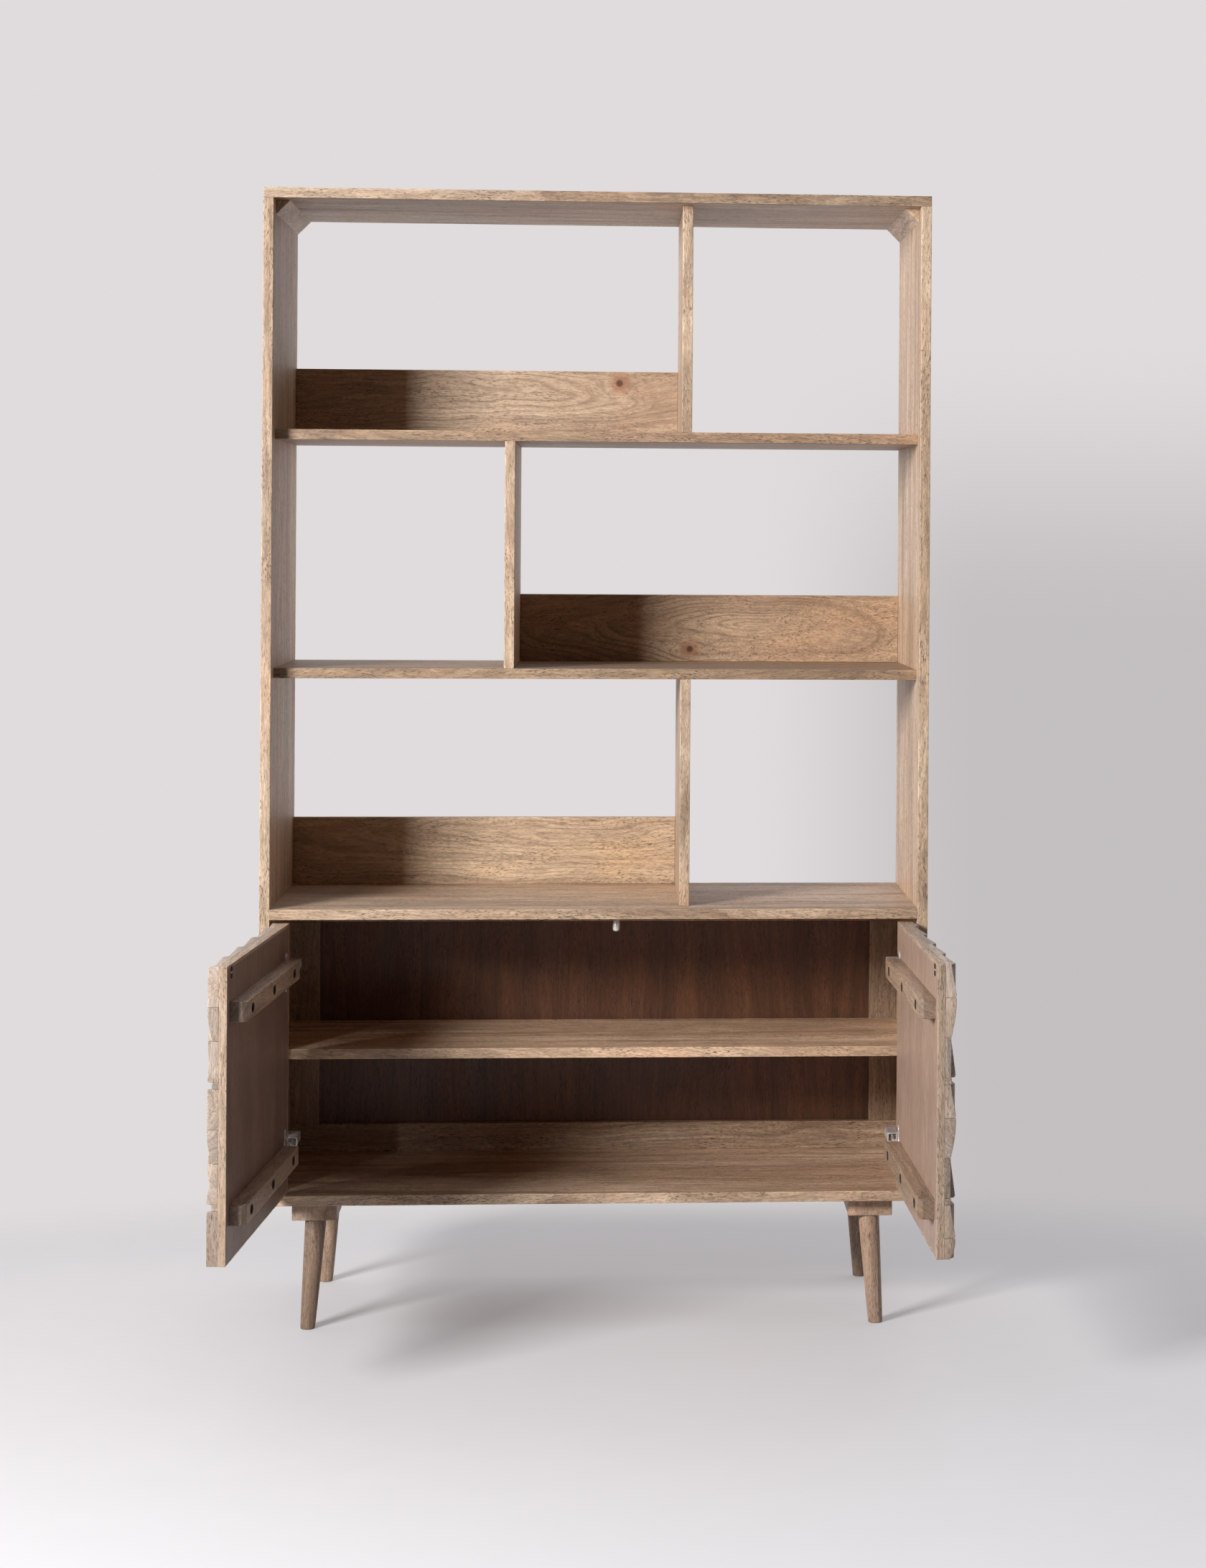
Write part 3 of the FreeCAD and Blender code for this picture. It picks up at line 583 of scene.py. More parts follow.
for ends in ("front", "back"):
    for side in ("left", "right"):
        legPiece(ends, side)
for side in ("left", "right"):
    low, high = boxOf(side + "_leg_runner")
    low[2] = runnerUnder
    caseBoard(side + "Runner", side + "_leg_runner", low, high, "y", runnerWood, (0.02, 0.03),
              legLook["runnerPaintedLight"][side], slotName="runner_wood", radius=1.4 * mm, climb=(0.08, 0.2))
print("legs built")

# Doors: built closed as a left door, then turned to where they rest
doorLook = {
    "axisX": -529.0 * mm,       # hinge axis of the left door, in the front plane
    "edge": -531.0 * mm,        # hinge edge of the closed left door
    "wide": 529.75 * mm,
    "low": 231.0 * mm,
    "top": 672.0 * mm,
    "glue": 16.5 * mm,          # y of the joint between the carved blocks and the board
    "inner": 28.5 * mm,         # y of the door's inner face
    "lip": 4.0 * mm,
    "overlap": 1.0 * mm,        # how far the hinge edge reaches towards the side, so that no light leaks in
    "openAngle": {"left": -94.0, "right": 91.3},
}
# one board wood in two copies: the left door's is darker, painted shade on its inner face, which stands away
# from the lamp
litAndShadedBoardWoods = {
    "left": woodMaterial("leftDoorBoard", pale=(0.30, 0.20, 0.155), mid=(0.26, 0.17, 0.13),
                         deep=(0.18, 0.11, 0.085), warm=(0.30, 0.18, 0.13), streaks=0.25, ringScale=60.0,
                         pores=0.2, rough=0.42),
    "right": woodMaterial("rightDoorBoard", pale=(0.49, 0.34, 0.262), mid=(0.44, 0.30, 0.228),
                          deep=(0.28, 0.18, 0.13), warm=(0.45, 0.29, 0.215), streaks=0.3, ringScale=60.0,
                          pores=0.2, rough=0.42),
}
lipWood = woodMaterial("doorLipping", pale=(0.60, 0.45, 0.335), mid=(0.51, 0.37, 0.27),
                       deep=(0.28, 0.18, 0.12), warm=(0.48, 0.32, 0.21), ringScale=160.0)
carvedWood = woodMaterial("carvedOffcuts", pale=(0.52, 0.425, 0.352), mid=(0.405, 0.32, 0.255),
                          deep=(0.22, 0.155, 0.11), warm=(0.44, 0.30, 0.21), ringScale=130.0, pores=0.7)
# near-black wood for the bores' walls: partly darker end grain, mostly painted shade in the holes
boreEndGrainAndShade = woodMaterial("boredShade", pale=(0.07, 0.045, 0.03), mid=(0.05, 0.032, 0.022),
                        deep=(0.03, 0.02, 0.014), warm=(0.06, 0.038, 0.025), pore=(0.02, 0.012, 0.01),
                        rough=0.7)
battenWood = woodMaterial("mangoBattens", pale=(0.50, 0.36, 0.26), mid=(0.38, 0.26, 0.18),
                          deep=(0.22, 0.14, 0.09), ringScale=140.0)


def doorPiece(side, name, shape, material, node, sharp=35):
    # A shape in closed left-door coordinates is mirrored for the right door, then turned on its axis.
    points, faces, layers = shape
    placed = np.array(points, float)
    axisX = doorLook["axisX"]
    if side == "right":
        placed[:, 0] *= -1
        axisX = -axisX
        faces = [face[::-1] for face in faces]
    turn = math.radians(doorLook["openAngle"][side])
    x, y = placed[:, 0] - axisX, placed[:, 1].copy()
    placed[:, 0] = axisX + x * math.cos(turn) - y * math.sin(turn)
    placed[:, 1] = x * math.sin(turn) + y * math.cos(turn)
    shape = (placed, faces, layers)
    return newPiece(side + name, shape, material, side + "_door", side + node, sharp)


def doorBoards(side, seed):
    # The backing board, and four strips of lipping round it.
    d = doorLook
    x0, x1 = d["edge"], d["edge"] + d["wide"]
    y0, y1, z0, z1, lip = d["glue"], d["inner"], d["low"], d["top"], d["lip"]

    def bar(low, high, along, heart, seed, radius):
        return board(low, high, along, heart, seed % 89 * 0.41, 0.0, seed, radius, radius, 0.2 * mm)
    core = bar((x0 + lip, y0, z0 + lip), (x1 - lip, y1, z1 - lip), "z", (0.12, 0.05), seed, 0.8 * mm)
    doorPiece(side, "DoorInnerBoard", core, litAndShadedBoardWoods[side], "_door_board")
    strips = (((x0 - d["overlap"], y0, z0), (x0 + lip, y1, z1), "z"), ((x1 - lip, y0, z0), (x1, y1, z1), "z"),
              ((x0 + lip, y0, z0), (x1 - lip, y1, z0 + lip), "x"),
              ((x0 + lip, y0, z1 - lip), (x1 - lip, y1, z1), "x"))
    shape = joined([bar(*strip, (0.03, 0.03), seed + k, 0.5 * mm) for k, strip in enumerate(strips)])
    doorPiece(side, "DoorLippingStrips", shape, lipWood, "_door_lipping")


# Carved fronts
carveLook = {
    "full": 16.5 * mm, "thin": 9.0 * mm, "strip": 10.0 * mm,
    "hingeColumn": 60.0 * mm, "pitch": 116.0 * mm,
    "rows": {"along": 60.0 * mm, "first": 50.0 * mm, "second": 60.0 * mm, "strip": 10.0 * mm},
    "leastRow": 25.0 * mm,
    "nose": 9.0 * mm, "noseDrop": 6.0 * mm, "riseNose": 4.0 * mm, "riseDrop": 2.0 * mm, "fallFlat": 6.0 * mm,
    "wedgeThin": 10.5 * mm, "wedgeFull": 16.4 * mm,
    "gap": 0.25 * mm, "corner": 0.7 * mm, "wear": 0.35 * mm, "step": 14 * mm,
    "toneSpread": 0.13, "toneMost": 0.26, "turnedShare": {"along": 0.25, "down": 0.6},
    "heartShift": (-0.06, 0.06), "heartDeep": (0.02, 0.05),
}


def carvedOutline(long, start, straight, drop, reverse=True):
    # Block seen from its side: thickness grows in a straight line from its start value to the full one,
    # then falls on a quarter sine over the nose. The glue side lies at zero.
    full, corner = carveLook["full"], carveLook["corner"]
    t = np.linspace(0, 1, 9)[1:]
    s = straight + (long - straight) * t
    h = full - drop * (1 - np.cos(t * np.pi / 2))
    run = [(0, 0, corner), (0, start, corner), (straight, full, 0)]
    run += [(a, b, 0) for a, b in zip(s[:-1], h[:-1])]
    run += [(long, full - drop, corner), (long, 0, corner)]
    return [(long - a, b, r) for a, b, r in run] if reverse else run


def carvedBlock(kind, u0, u1, low, z, valley, lean, tone, rng):
    # One block between two edges and two heights. Its outline runs along the door where the block slopes
    # that way or is flat, and up the door where it grows or thins downwards.
    look, gap, corner = carveLook, carveLook["gap"], carveLook["corner"]
    wide, tall = u1 - u0 - gap, z - low - gap
    seed = int(rng.integers(1, 10 ** 6))
    flat = kind == "strip" or (kind == "along" and lean == 0)
    if flat:
        outline = boxCorners(0, wide, 0, look["strip"] if kind == "strip" else look["thin"], corner)
    elif kind == "along" and lean < 0 and u0 < 0:
        outline = [(0, 0, corner), (wide, 0, corner), (wide, look["wedgeThin"], corner),
                   (0, look["wedgeFull"], corner)]
    elif kind == "along":
        start = max(look["full"] - wide * (look["full"] - look["thin"]) / look["pitch"], look["thin"])
        outline = carvedOutline(wide, start, max(wide - look["nose"], wide / 4), look["noseDrop"], lean < 0)
    elif (kind == "first") == valley:
        outline = carvedOutline(tall, look["full"], look["fallFlat"], look["full"] - look["thin"])
    else:
        outline = carvedOutline(tall, look["thin"], tall - look["riseNose"], look["riseDrop"])
    sideways = flat or kind == "along"
    points, faces, edge = milledBar(outline, "x", 0.0, tall if sideways else wide, corner, look["step"],
                                    look["step"], look["wear"], seed, arcSteps=2)
    # local axes: points[:, 0] across, [:, 1] along the outline, [:, 2] thickness out of the board
    placed = np.empty_like(points)
    placed[:, 0] = doorLook["edge"] + u0 + gap / 2 + points[:, 1 if sideways else 0]
    placed[:, 1] = doorLook["glue"] - points[:, 2]
    placed[:, 2] = z - gap / 2 - points[:, 0] if sideways else low + gap / 2 + points[:, 1]
    turn = rng.random() < look["turnedShare"]["along" if sideways else "down"]
    first, second = (2, 0) if turn else (0, 2)
    heart, deep = rng.uniform(*look["heartShift"]), rng.uniform(*look["heartDeep"])
    grain = np.stack([placed[:, first] + seed % 83 * 0.37,
                      placed[:, second] - placed[:, second].mean() + heart, placed[:, 1] + deep], 1)
    return placed, faces, {"grain": grain, "arris": edge, "tone": np.full(len(points), tone)}


def carvedBlocks(side, seed):
    # Columns of blocks from the hinge edge to the leading edge, rows down from the top of the door.
    look, d = carveLook, doorLook
    rng = np.random.default_rng(seed)
    edges = [-d["overlap"], look["hingeColumn"]]
    while edges[-1] + look["pitch"] < d["wide"]:
        edges.append(edges[-1] + look["pitch"])
    edges.append(d["wide"])
    blocks = []
    for i, (u0, u1) in enumerate(zip(edges, edges[1:])):
        rows = ("along", "first", "second", "strip")
        valley = i % 2 == (1 if side == "left" else 0)
        lean = -1 if side == "left" else 1
        if side == "right" and i == len(edges) - 2:
            rows, valley, lean = ("first", "second", "along", "strip"), False, 0
        z, k = d["top"], 0
        while z > d["low"] + 0.01 * mm:
            kind = rows[k % 4]
            low = max(z - look["rows"][kind], d["low"])
            if low - d["low"] < look["leastRow"]:
                low = d["low"]
            tone = float(np.clip(rng.normal(0.0, look["toneSpread"]), -look["toneMost"], look["toneMost"]))
            blocks.append(carvedBlock(kind, u0, u1, low, z, valley, lean, tone, rng))
            z = low
            k += 1
    return joined(blocks)


# Battens with counterbored screws
battenLook = {
    "start": 44.0 * mm, "endGap": 25.0 * mm, "high": 30.0 * mm, "deep": 25.0 * mm, "bevel": 7.0 * mm,
    "fromEnd": 70.0 * mm, "screwInset": 48.0 * mm, "arris": 0.9 * mm, "glueArris": 0.3 * mm, "wear": 0.3 * mm,
    "bore": 6.6 * mm, "boreDeep": 12.0 * mm, "mouth": 0.7 * mm, "slot": 4.5 * mm, "screwHole": 0.6 * mm,
    "shadeReach": 1.2 * mm, "endTone": -0.35, "heart": (0.03, 0.02),
}


def cutBy(points, faces, cutters):
    # The shape with holes bored by Boolean cutters.
    body = meshThing("boreBody", points, faces)
    tools = [meshThing("boreTool", *cutter[:2]) for cutter in cutters]
    for tool in tools:
        step = body.modifiers.new("bore", "BOOLEAN")
        step.operation = "DIFFERENCE"
        step.solver = "EXACT"
        step.object = tool
    result = body.evaluated_get(bpy.context.evaluated_depsgraph_get()).to_mesh()
    spots = np.empty(len(result.vertices) * 3)
    result.vertices.foreach_get("co", spots)
    polygons = [list(p.vertices) for p in result.polygons]
    for thing in [body] + tools:
        bpy.data.objects.remove(thing, do_unlink=True)
    return spots.reshape(-1, 3), polygons


battenLong = doorLook["wide"] - battenLook["start"] - battenLook["endGap"]


def battenScrewPlaces(z):
    look, d = battenLook, doorLook
    u = look["start"] + look["screwInset"] + np.arange(3) * (battenLong - 2 * look["screwInset"]) / 2
    return [(d["edge"] + v, d["inner"] + look["deep"] - look["boreDeep"], z) for v in u]


def battenPiece(side, word, z, seed):
    # A bar milled along z, so its outline runs in (x, y): a long rectangle with the leading end bevelled.
    look, d = battenLook, doorLook
    x0, x1 = d["edge"] + look["start"], d["edge"] + look["start"] + battenLong
    y0, y1, r = d["inner"], d["inner"] + look["deep"], look["arris"]
    corners = [(x0, y0, look["glueArris"]), (x1, y0, look["glueArris"]), (x1, y1 - look["bevel"], r),
               (x1 - look["bevel"], y1, r), (x0, y1, r)]
    points, faces, _ = milledBar(corners, "z", z - look["high"] / 2, look["high"], r, 12 * mm, 9 * mm,
                                 look["wear"], seed)
    bore, deep, mouth, hole = look["bore"], look["boreDeep"], look["mouth"], look["screwHole"]
    profile = [(0, hole), (0, bore), (deep - mouth, bore), (deep + mouth, bore + 2 * mouth),
               (deep + 2 * mm, bore + 2 * mouth), (deep + 2 * mm, hole)]
    seats = battenScrewPlaces(z)
    points, faces = cutBy(points, faces, [turnedBar(profile, 32, "y", seat, look["slot"]) for seat in seats])
    middles = np.array([points[face].mean(0) for face in faces])
    away = [np.hypot(np.maximum(np.abs(middles[:, 0] - x) - look["slot"], 0), middles[:, 2] - z)
            for x, _, _ in seats]
    bored = (np.min(away, 0) < bore + look["shadeReach"]) & (middles[:, 1] < y1 - 0.02 * mm)
    bored &= middles[:, 1] > y0 + 1 * mm
    tone = np.where(points[:, 0] > x1 - look["bevel"] - 0.1 * mm, look["endTone"], 0.0)
    grain = np.stack([points[:, 0] + seed * 0.013, points[:, 2] - z - look["heart"][0],
                      points[:, 1] - y0 + look["heart"][1]], 1)
    layers = {"grain": grain, "arris": np.zeros(len(points)), "tone": tone}
    piece = doorPiece(side, word.title() + "Batten", (points, faces, layers), battenWood, "_%s_batten" % word)
    # the faces inside the bores take the near-black wood, painted shade in the holes
    secondMaterial(piece, boreEndGrainAndShade, bored)


# Screws
screwLook = {
    "around": 40, "rings": 14, "domeFall": 0.42, "domePower": 2.6,
    "recess": 0.6,              # depth of the cross, in the head's height
    "armWide": 0.13, "armLong": 0.58, "armSoft": (60, 30), "turnStart": 0.4, "turnStep": 1.1,
    "batten": (4.0 * mm, 3.0 * mm), "hinge": (3.5 * mm, 2.0 * mm),     # radius and height of the heads
}


def screwHead(radius, high):
    # Domed round head over a polar grid: the height is a flat dome less a cross-shaped recess, whose arms
    # fade out before the rim. Points come as (out, p, q) from the seat.
    look = screwLook
    r = np.concatenate([[0.02], np.linspace(0.1, 1.0, look["rings"])])
    angle = np.arange(look["around"]) / look["around"] * 2 * np.pi
    rr, aa = np.meshgrid(r, angle, indexing="ij")
    x, y = rr * np.cos(aa), rr * np.sin(aa)
    arm = np.minimum(np.abs(x), np.abs(y))
    cross = 1 / (1 + np.exp((arm - look["armWide"]) * look["armSoft"][0]))
    cross = cross / (1 + np.exp((rr - look["armLong"]) * look["armSoft"][1]))
    out = high * (1 - look["domeFall"] * rr ** look["domePower"]) - high * look["recess"] * cross
    top = np.stack([out, radius * x, radius * y], -1)[::-1]
    skirt = np.stack([0 * angle, radius * np.cos(angle), radius * np.sin(angle)], -1)[None]
    return np.concatenate([skirt, top]).reshape(-1, 3), tubeFaces(len(r) + 1, len(angle))


def screwSet(side, name, node, seats, along, way, size, material, onDoor=True):
    # Screw heads at the given seats, facing the given way along an axis, each turned a bit further.
    parts = []
    for k, seat in enumerate(seats):
        points, faces = screwHead(*size)
        turn = k * screwLook["turnStep"] + screwLook["turnStart"]
        p, q = points[:, 1].copy(), points[:, 2].copy()
        points[:, 1] = p * math.cos(turn) - q * math.sin(turn)
        points[:, 2] = p * math.sin(turn) + q * math.cos(turn)
        if way < 0:
            points[:, 0] *= -1
            faces = [face[::-1] for face in faces]
        parts.append((inFrame(points, along) + np.array(seat), faces, {}))
    if onDoor:
        doorPiece(side, name, joined(parts), material, node, 50)
    else:
        newPiece(side + name, joined(parts), material, "root", side + node, 50)


zinc = metalMaterial("dullZinc", (0.36, 0.35, 0.33), 0.42, (400.0, 400.0, 90.0))
nickel = metalMaterial("nickelPlate", (0.86, 0.845, 0.835), 0.33, (60.0, 900.0, 900.0), 0.6)
blackedZinc = metalMaterial("blackedZinc", (0.075, 0.068, 0.062), 0.5, (400.0, 400.0, 90.0))
darkSteel = metalMaterial("darkMagnet", (0.035, 0.030, 0.028), 0.45, (300.0, 300.0, 300.0), 0.6)
bright = metalMaterial("brightBumper", (0.80, 0.79, 0.77), 0.25, (300.0, 300.0, 300.0), 0.4)

for side, seed in (("left", 310), ("right", 720)):
    doorBoards(side, seed)
    doorPiece(side, "CarvedFront", carvedBlocks(side, seed + 9), carvedWood, "_door_carving")
    seats = []
    for word, z in (("lower", doorLook["low"] + battenLook["fromEnd"]),
                    ("upper", doorLook["top"] - battenLook["fromEnd"])):
        battenPiece(side, word, z, seed + int(z * 100))
        seats += battenScrewPlaces(z)
    screwSet(side, "BattenScrewHeads", "_batten_screws", seats, "y", 1, screwLook["batten"], blackedZinc)
print("doors built")


def backPanel():
    # The panel with a row of sunk screws along its top and its bottom, in the middle of the frame's rails.
    look, node = backLook, "cabinet_back_panel"
    low, high = boxOf(node)
    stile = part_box("left_back_stile")
    half = (stile[1][0] - stile[0][0]) / 2
    places = [(x, high[1], z) for z in (low[2] + half, high[2] - half)
              for x in np.linspace(low[0] + half, high[0] - half, look["screws"])]
    points, faces, _ = board(low, high, "x", (0, 0), 0.0, 0.0, 77, look["edge"], look["edge"], look["wear"])
    profile = [(-look["sunk"], 0.3 * mm), (-look["sunk"], look["head"]), (0.0, look["sink"]),
               (1.0 * mm, look["sink"]), (1.0 * mm, 0.3 * mm)]
    points, faces = cutBy(points, faces, [turnedBar(profile, 28, "y", place) for place in places])
    layers = grainLayers(points, low, high, "z", (0.2, 0.03), 3.3, 0.0)
    newPiece("cabinetBackPanelWood", (points, faces, layers), backWood, "root", node)
    seats = [(x, y - look["sunk"], z) for x, y, z in places]
    size = (look["head"], look["headHigh"])
    screwSet("back", "PanelScrewHeads", "_panel_screws", seats, "y", 1, size, zinc, onDoor=False)


backPanel()

# Hinges
hingeLook = {
    "heights": (308.0 * mm, 595.0 * mm), "fromEdge": 22.5 * mm,
    "cup": 17.4 * mm, "cupDeep": 11.5 * mm, "cupSoft": 1.5 * mm, "wall": 0.8 * mm, "rim": 19.0 * mm,
    "flange": 1.4 * mm, "earRoot": 18.0 * mm, "earShift": 6.0 * mm, "ear": 8.0 * mm, "earReach": 24.0 * mm,
    "inner": -533.0 * mm, "web": 44.5 * mm, "sheet": 1.5 * mm, "cheek": 22.0 * mm, "high": 15.0 * mm,
    "bend": 2.2 * mm, "innerBend": 0.8 * mm, "sheetEdge": 0.35 * mm,
    "front": 31.0 * mm, "back": 88.0 * mm, "foot": 6.0 * mm, "footInset": 4.0 * mm,
    "core": 9.0 * mm, "coreLong": 34.0 * mm, "wing": 2.5 * mm, "wingLong": 12.0 * mm, "wingHigh": 48.0 * mm,
    "plateScrew": 16.0 * mm,
}


def hingeCup(z):
    # Pressed cup turned about the line square to the door: up the outside, over the rolled rim, down the
    # inside. Two round-ended ears lie on the door from the rim outwards.
    h, d = hingeLook, doorLook
    r, t, deep, wall, rim, soft = (h[key] for key in ("cup", "flange", "cupDeep", "wall", "rim", "cupSoft"))
    profile = [(-deep, 0.05 * mm), (-deep, r - soft), (-deep + 0.3 * soft, r - 0.3 * soft), (-deep + soft, r),
               (0.0, r), (0.05 * mm, rim - 0.3 * mm), (0.35 * t, rim), (0.7 * t, rim - 0.1 * mm),
               (t, rim - 0.6 * mm), (t, r + 0.1 * mm), (0.8 * t, r - 0.6 * wall), (0.3 * t, r - wall),
               (wall - deep + soft, r - wall), (wall - deep + 0.3 * soft, r - wall - 0.3 * soft),
               (wall - deep, r - wall - soft), (wall - deep, 0.05 * mm)]
    x = d["edge"] + h["fromEdge"]
    parts = [turnedBar(profile, 64, "y", (x, d["inner"], z))]
    root, shift, ear = h["earRoot"], h["earShift"], h["ear"]
    angles = np.arcsin(np.linspace(shift - ear, shift + ear, 7) / root)
    turns = np.linspace(0, np.pi, 13)
    for way in (1, -1):
        outline = [(way * math.cos(v) * root, math.sin(v) * root, 0) for v in angles]
        outline += [(way * (h["earReach"] + ear * math.sin(v)), shift + ear * math.cos(v), 0) for v in turns]
        parts.append(metalBar(outline, "y", d["inner"], t, spacing=50 * mm, shift=(x, 0, z)))
    return parts


def hingeArm(z):
    # Sheet folded to a channel with its outline in (z, x), carried from front to back, with a solid foot
    # inside its back end.
    h = hingeLook
    x0, x1 = h["inner"] + h["web"] - h["cheek"], h["inner"] + h["web"]
    z0, z1, t, r = z - h["high"] / 2, z + h["high"] / 2, h["sheet"], h["sheetEdge"]
    inside, outside = h["innerBend"], h["bend"]
    outline = [(z0, x0, r), (z0 + t, x0, r), (z0 + t, x1 - t, inside), (z1 - t, x1 - t, inside),
               (z1 - t, x0, r), (z1, x0, r), (z1, x1, outside), (z0, x1, outside)]
    foot = boxCorners(z0 + t, z1 - t, h["inner"] + h["core"], x1 - t, 0.3 * mm)
    return [metalBar(outline, "y", h["front"], h["back"] - h["front"]),
            metalBar(foot, "y", h["back"] - h["footInset"] - h["foot"], h["foot"])]


def hingePlate(z):
    # Raised core with rounded ends, and two thin wings whose ends are half circles.
    h = hingeLook
    core = boxCorners(h["back"] - h["coreLong"], h["back"], z - h["high"] / 2, z + h["high"] / 2, 2.0 * mm)
    middle, half = h["back"] - h["coreLong"] / 2, h["wingLong"] / 2
    reach = h["wingHigh"] / 2 - half
    wings = [(middle + way * half * math.cos(v), z + way * (reach + half * math.sin(v)), 0)
             for way in (1, -1) for v in np.linspace(0, np.pi, 12)]
    return [metalBar(core, "x", h["inner"], h["core"], 0.6 * mm),
            metalBar(wings, "x", h["inner"], h["wing"], 0.4 * mm)]


def hingeSet(side):
    # Both hinges of a door: cups and their screws on the door, arms and plates on the side panel.
    h, d = hingeLook, doorLook
    way = 1 if side == "left" else -1
    doorPiece(side, "HingeCupShells", joined([part for z in h["heights"] for part in hingeCup(z)]), nickel,
              "_hinge_cups", 40)
    seats = [(d["edge"] + h["fromEdge"] + h["earShift"], d["inner"] + h["flange"], z + up * h["earReach"])
             for z in h["heights"] for up in (-1, 1)]
    screwSet(side, "HingeScrewHeads", "_hinge_screws", seats, "y", 1, screwLook["hinge"], zinc)
    for name, node, maker in (("HingeArms", "_hinge_arms", hingeArm),
                              ("HingePlates", "_mounting_plates", hingePlate)):
        points, faces, layers = joined([part for z in h["heights"] for part in maker(z)])
        shape = (points * np.array([way, 1, 1]), [face[::way] for face in faces], layers)
        newPiece(side + name, shape, nickel, "root", side + node, 40)
    seats = [(way * (h["inner"] + h["wing"]), h["back"] - h["coreLong"] / 2, z + up * h["plateScrew"])
             for z in h["heights"] for up in (-1, 1)]
    screwSet(side, "PlateScrewHeads", "_plate_screws", seats, "x", way, screwLook["hinge"], zinc, False)
    for node in (side + "_hinge_links", side + "_hinge_pins"):
        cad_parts[node].data.materials.clear()
        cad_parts[node].data.materials.append(nickel)


for side in ("left", "right"):
    hingeSet(side)
print("hinges built")

# Catches
catchLook = {
    "x": 34.0 * mm, "strikeHigh": 18.0 * mm, "strikeWide": 9.0 * mm, "strikeThick": 1.2 * mm,
    "strikeDown": 3.0 * mm, "middle": 2.6 * mm,
    "bumperLong": 24.0 * mm, "neck": 2.2 * mm, "tip": 4.5 * mm, "tipPower": 0.6,
}


def bumper():
    # Round-ended bumper hanging on the upright line under the cabinet top: a neck, a shoulder, and a tip
    # whose radius is a power of a cosine.
    look = catchLook
    low, high = boxOf("right_catch")
    r = (high[0] - low[0]) / 2
    down = [(0.0, 0.2 * mm), (0.0, r - look["neck"]), (3.0 * mm, r - look["neck"]), (3.3 * mm, r - 0.3 * mm),
            (3.8 * mm, r)]
    down += [(look["bumperLong"] - look["tip"] * (1 - math.sin(v)), r * math.cos(v) ** look["tipPower"])
             for v in np.linspace(0, np.pi / 2, 8)[:-1]] + [(look["bumperLong"], 0.1 * mm)]
    place = ((low[0] + high[0]) / 2, (low[1] + high[1]) / 2, high[2])
    shape = turnedBar([(-distance, radius) for distance, radius in down[::-1]], 40, "z", place)
    newPiece("rightCatchBumper", shape, bright, "root", "right_catch", 50)


def magnet():
    low, high = boxOf("left_catch")
    shape = metalBar(boxCorners(low[0], high[0], low[1], high[1], 2.0 * mm), "z", low[2], high[2] - low[2],
                     0.5 * mm, 6 * mm)
    newPiece("leftCatchMagnet", shape, darkSteel, "root", "left_catch")


def strikePlate(side):
    # Thin plate near the top of the leading edge: two dark ends with a bright band between them.
    look, d = catchLook, doorLook
    top = d["top"] - look["strikeDown"]
    x0 = -look["x"] - look["strikeWide"] / 2
    half = (look["strikeHigh"] - look["middle"]) / 2
    parts = [metalBar(boxCorners(low, high, x0, x0 + look["strikeWide"], 0.5 * mm), "y", d["inner"],
                      look["strikeThick"] * share, spacing=9 * mm)
             for low, high, share in ((top - half, top, 1.0), (top - half - look["middle"], top - half, 0.8),
                                      (top - look["strikeHigh"], top - half - look["middle"], 1.0))]
    piece = doorPiece(side, "StrikePlate", joined(parts), darkSteel, "_strike_plate")
    secondMaterial(piece, nickel, np.repeat([0, 1, 0], [len(part[1]) for part in parts]))


bumper()
magnet()
for side in ("left", "right"):
    strikePlate(side)
print("catches built")

# Floor, light and camera
studio = {
    "floor": (0.560, 0.545, 0.553), "floorBounce": (0.36, 0.35, 0.355), "wall": (0.745, 0.715, 0.72),
    "lift": 0.270,
    "floorMiddle": (0.0, -1.0), "floorReach": (2.6, 2.25), "floorFade": (0.78, 0.995), "floorTilt": 0.045,
    "speckle": (9.0, 9.0, 9.0), "speckleLevel": (0.99, 1.01), "floorRough": 0.8, "floorGloss": 0.1,
    "keySpot": (-2.46, -2.82, 2.05), "keyWay": (2.9, 2.4, 0.1), "keySize": 1.05, "keyPower": 212.0,
    "backLight": 0.78, "frontLight": 0.008, "glossFront": 0.16, "fillTint": (0.955, 0.975, 1.03),
    "litBack": (-0.20, 0.30), "litUp": (0.76, 0.96),    # where the world's light starts and where it is full
    # painted shadow on the backdrop, for the camera only: how deep, and where it reaches to the right and
    # below
    "shade": 0.266, "shadeRight": (0.04, 0.12), "shadeUp": (-0.03, 0.07),
}


def rayKinds(tree):
    # Whether a ray comes from the camera, from a reflection or through glass, and from any of these.
    rays = addNode(tree, "LightPath").outputs
    shiny = greater(tree, rays["Is Glossy Ray"], rays["Is Transmission Ray"])
    return rays["Is Camera Ray"], shiny, greater(tree, rays["Is Camera Ray"], shiny)


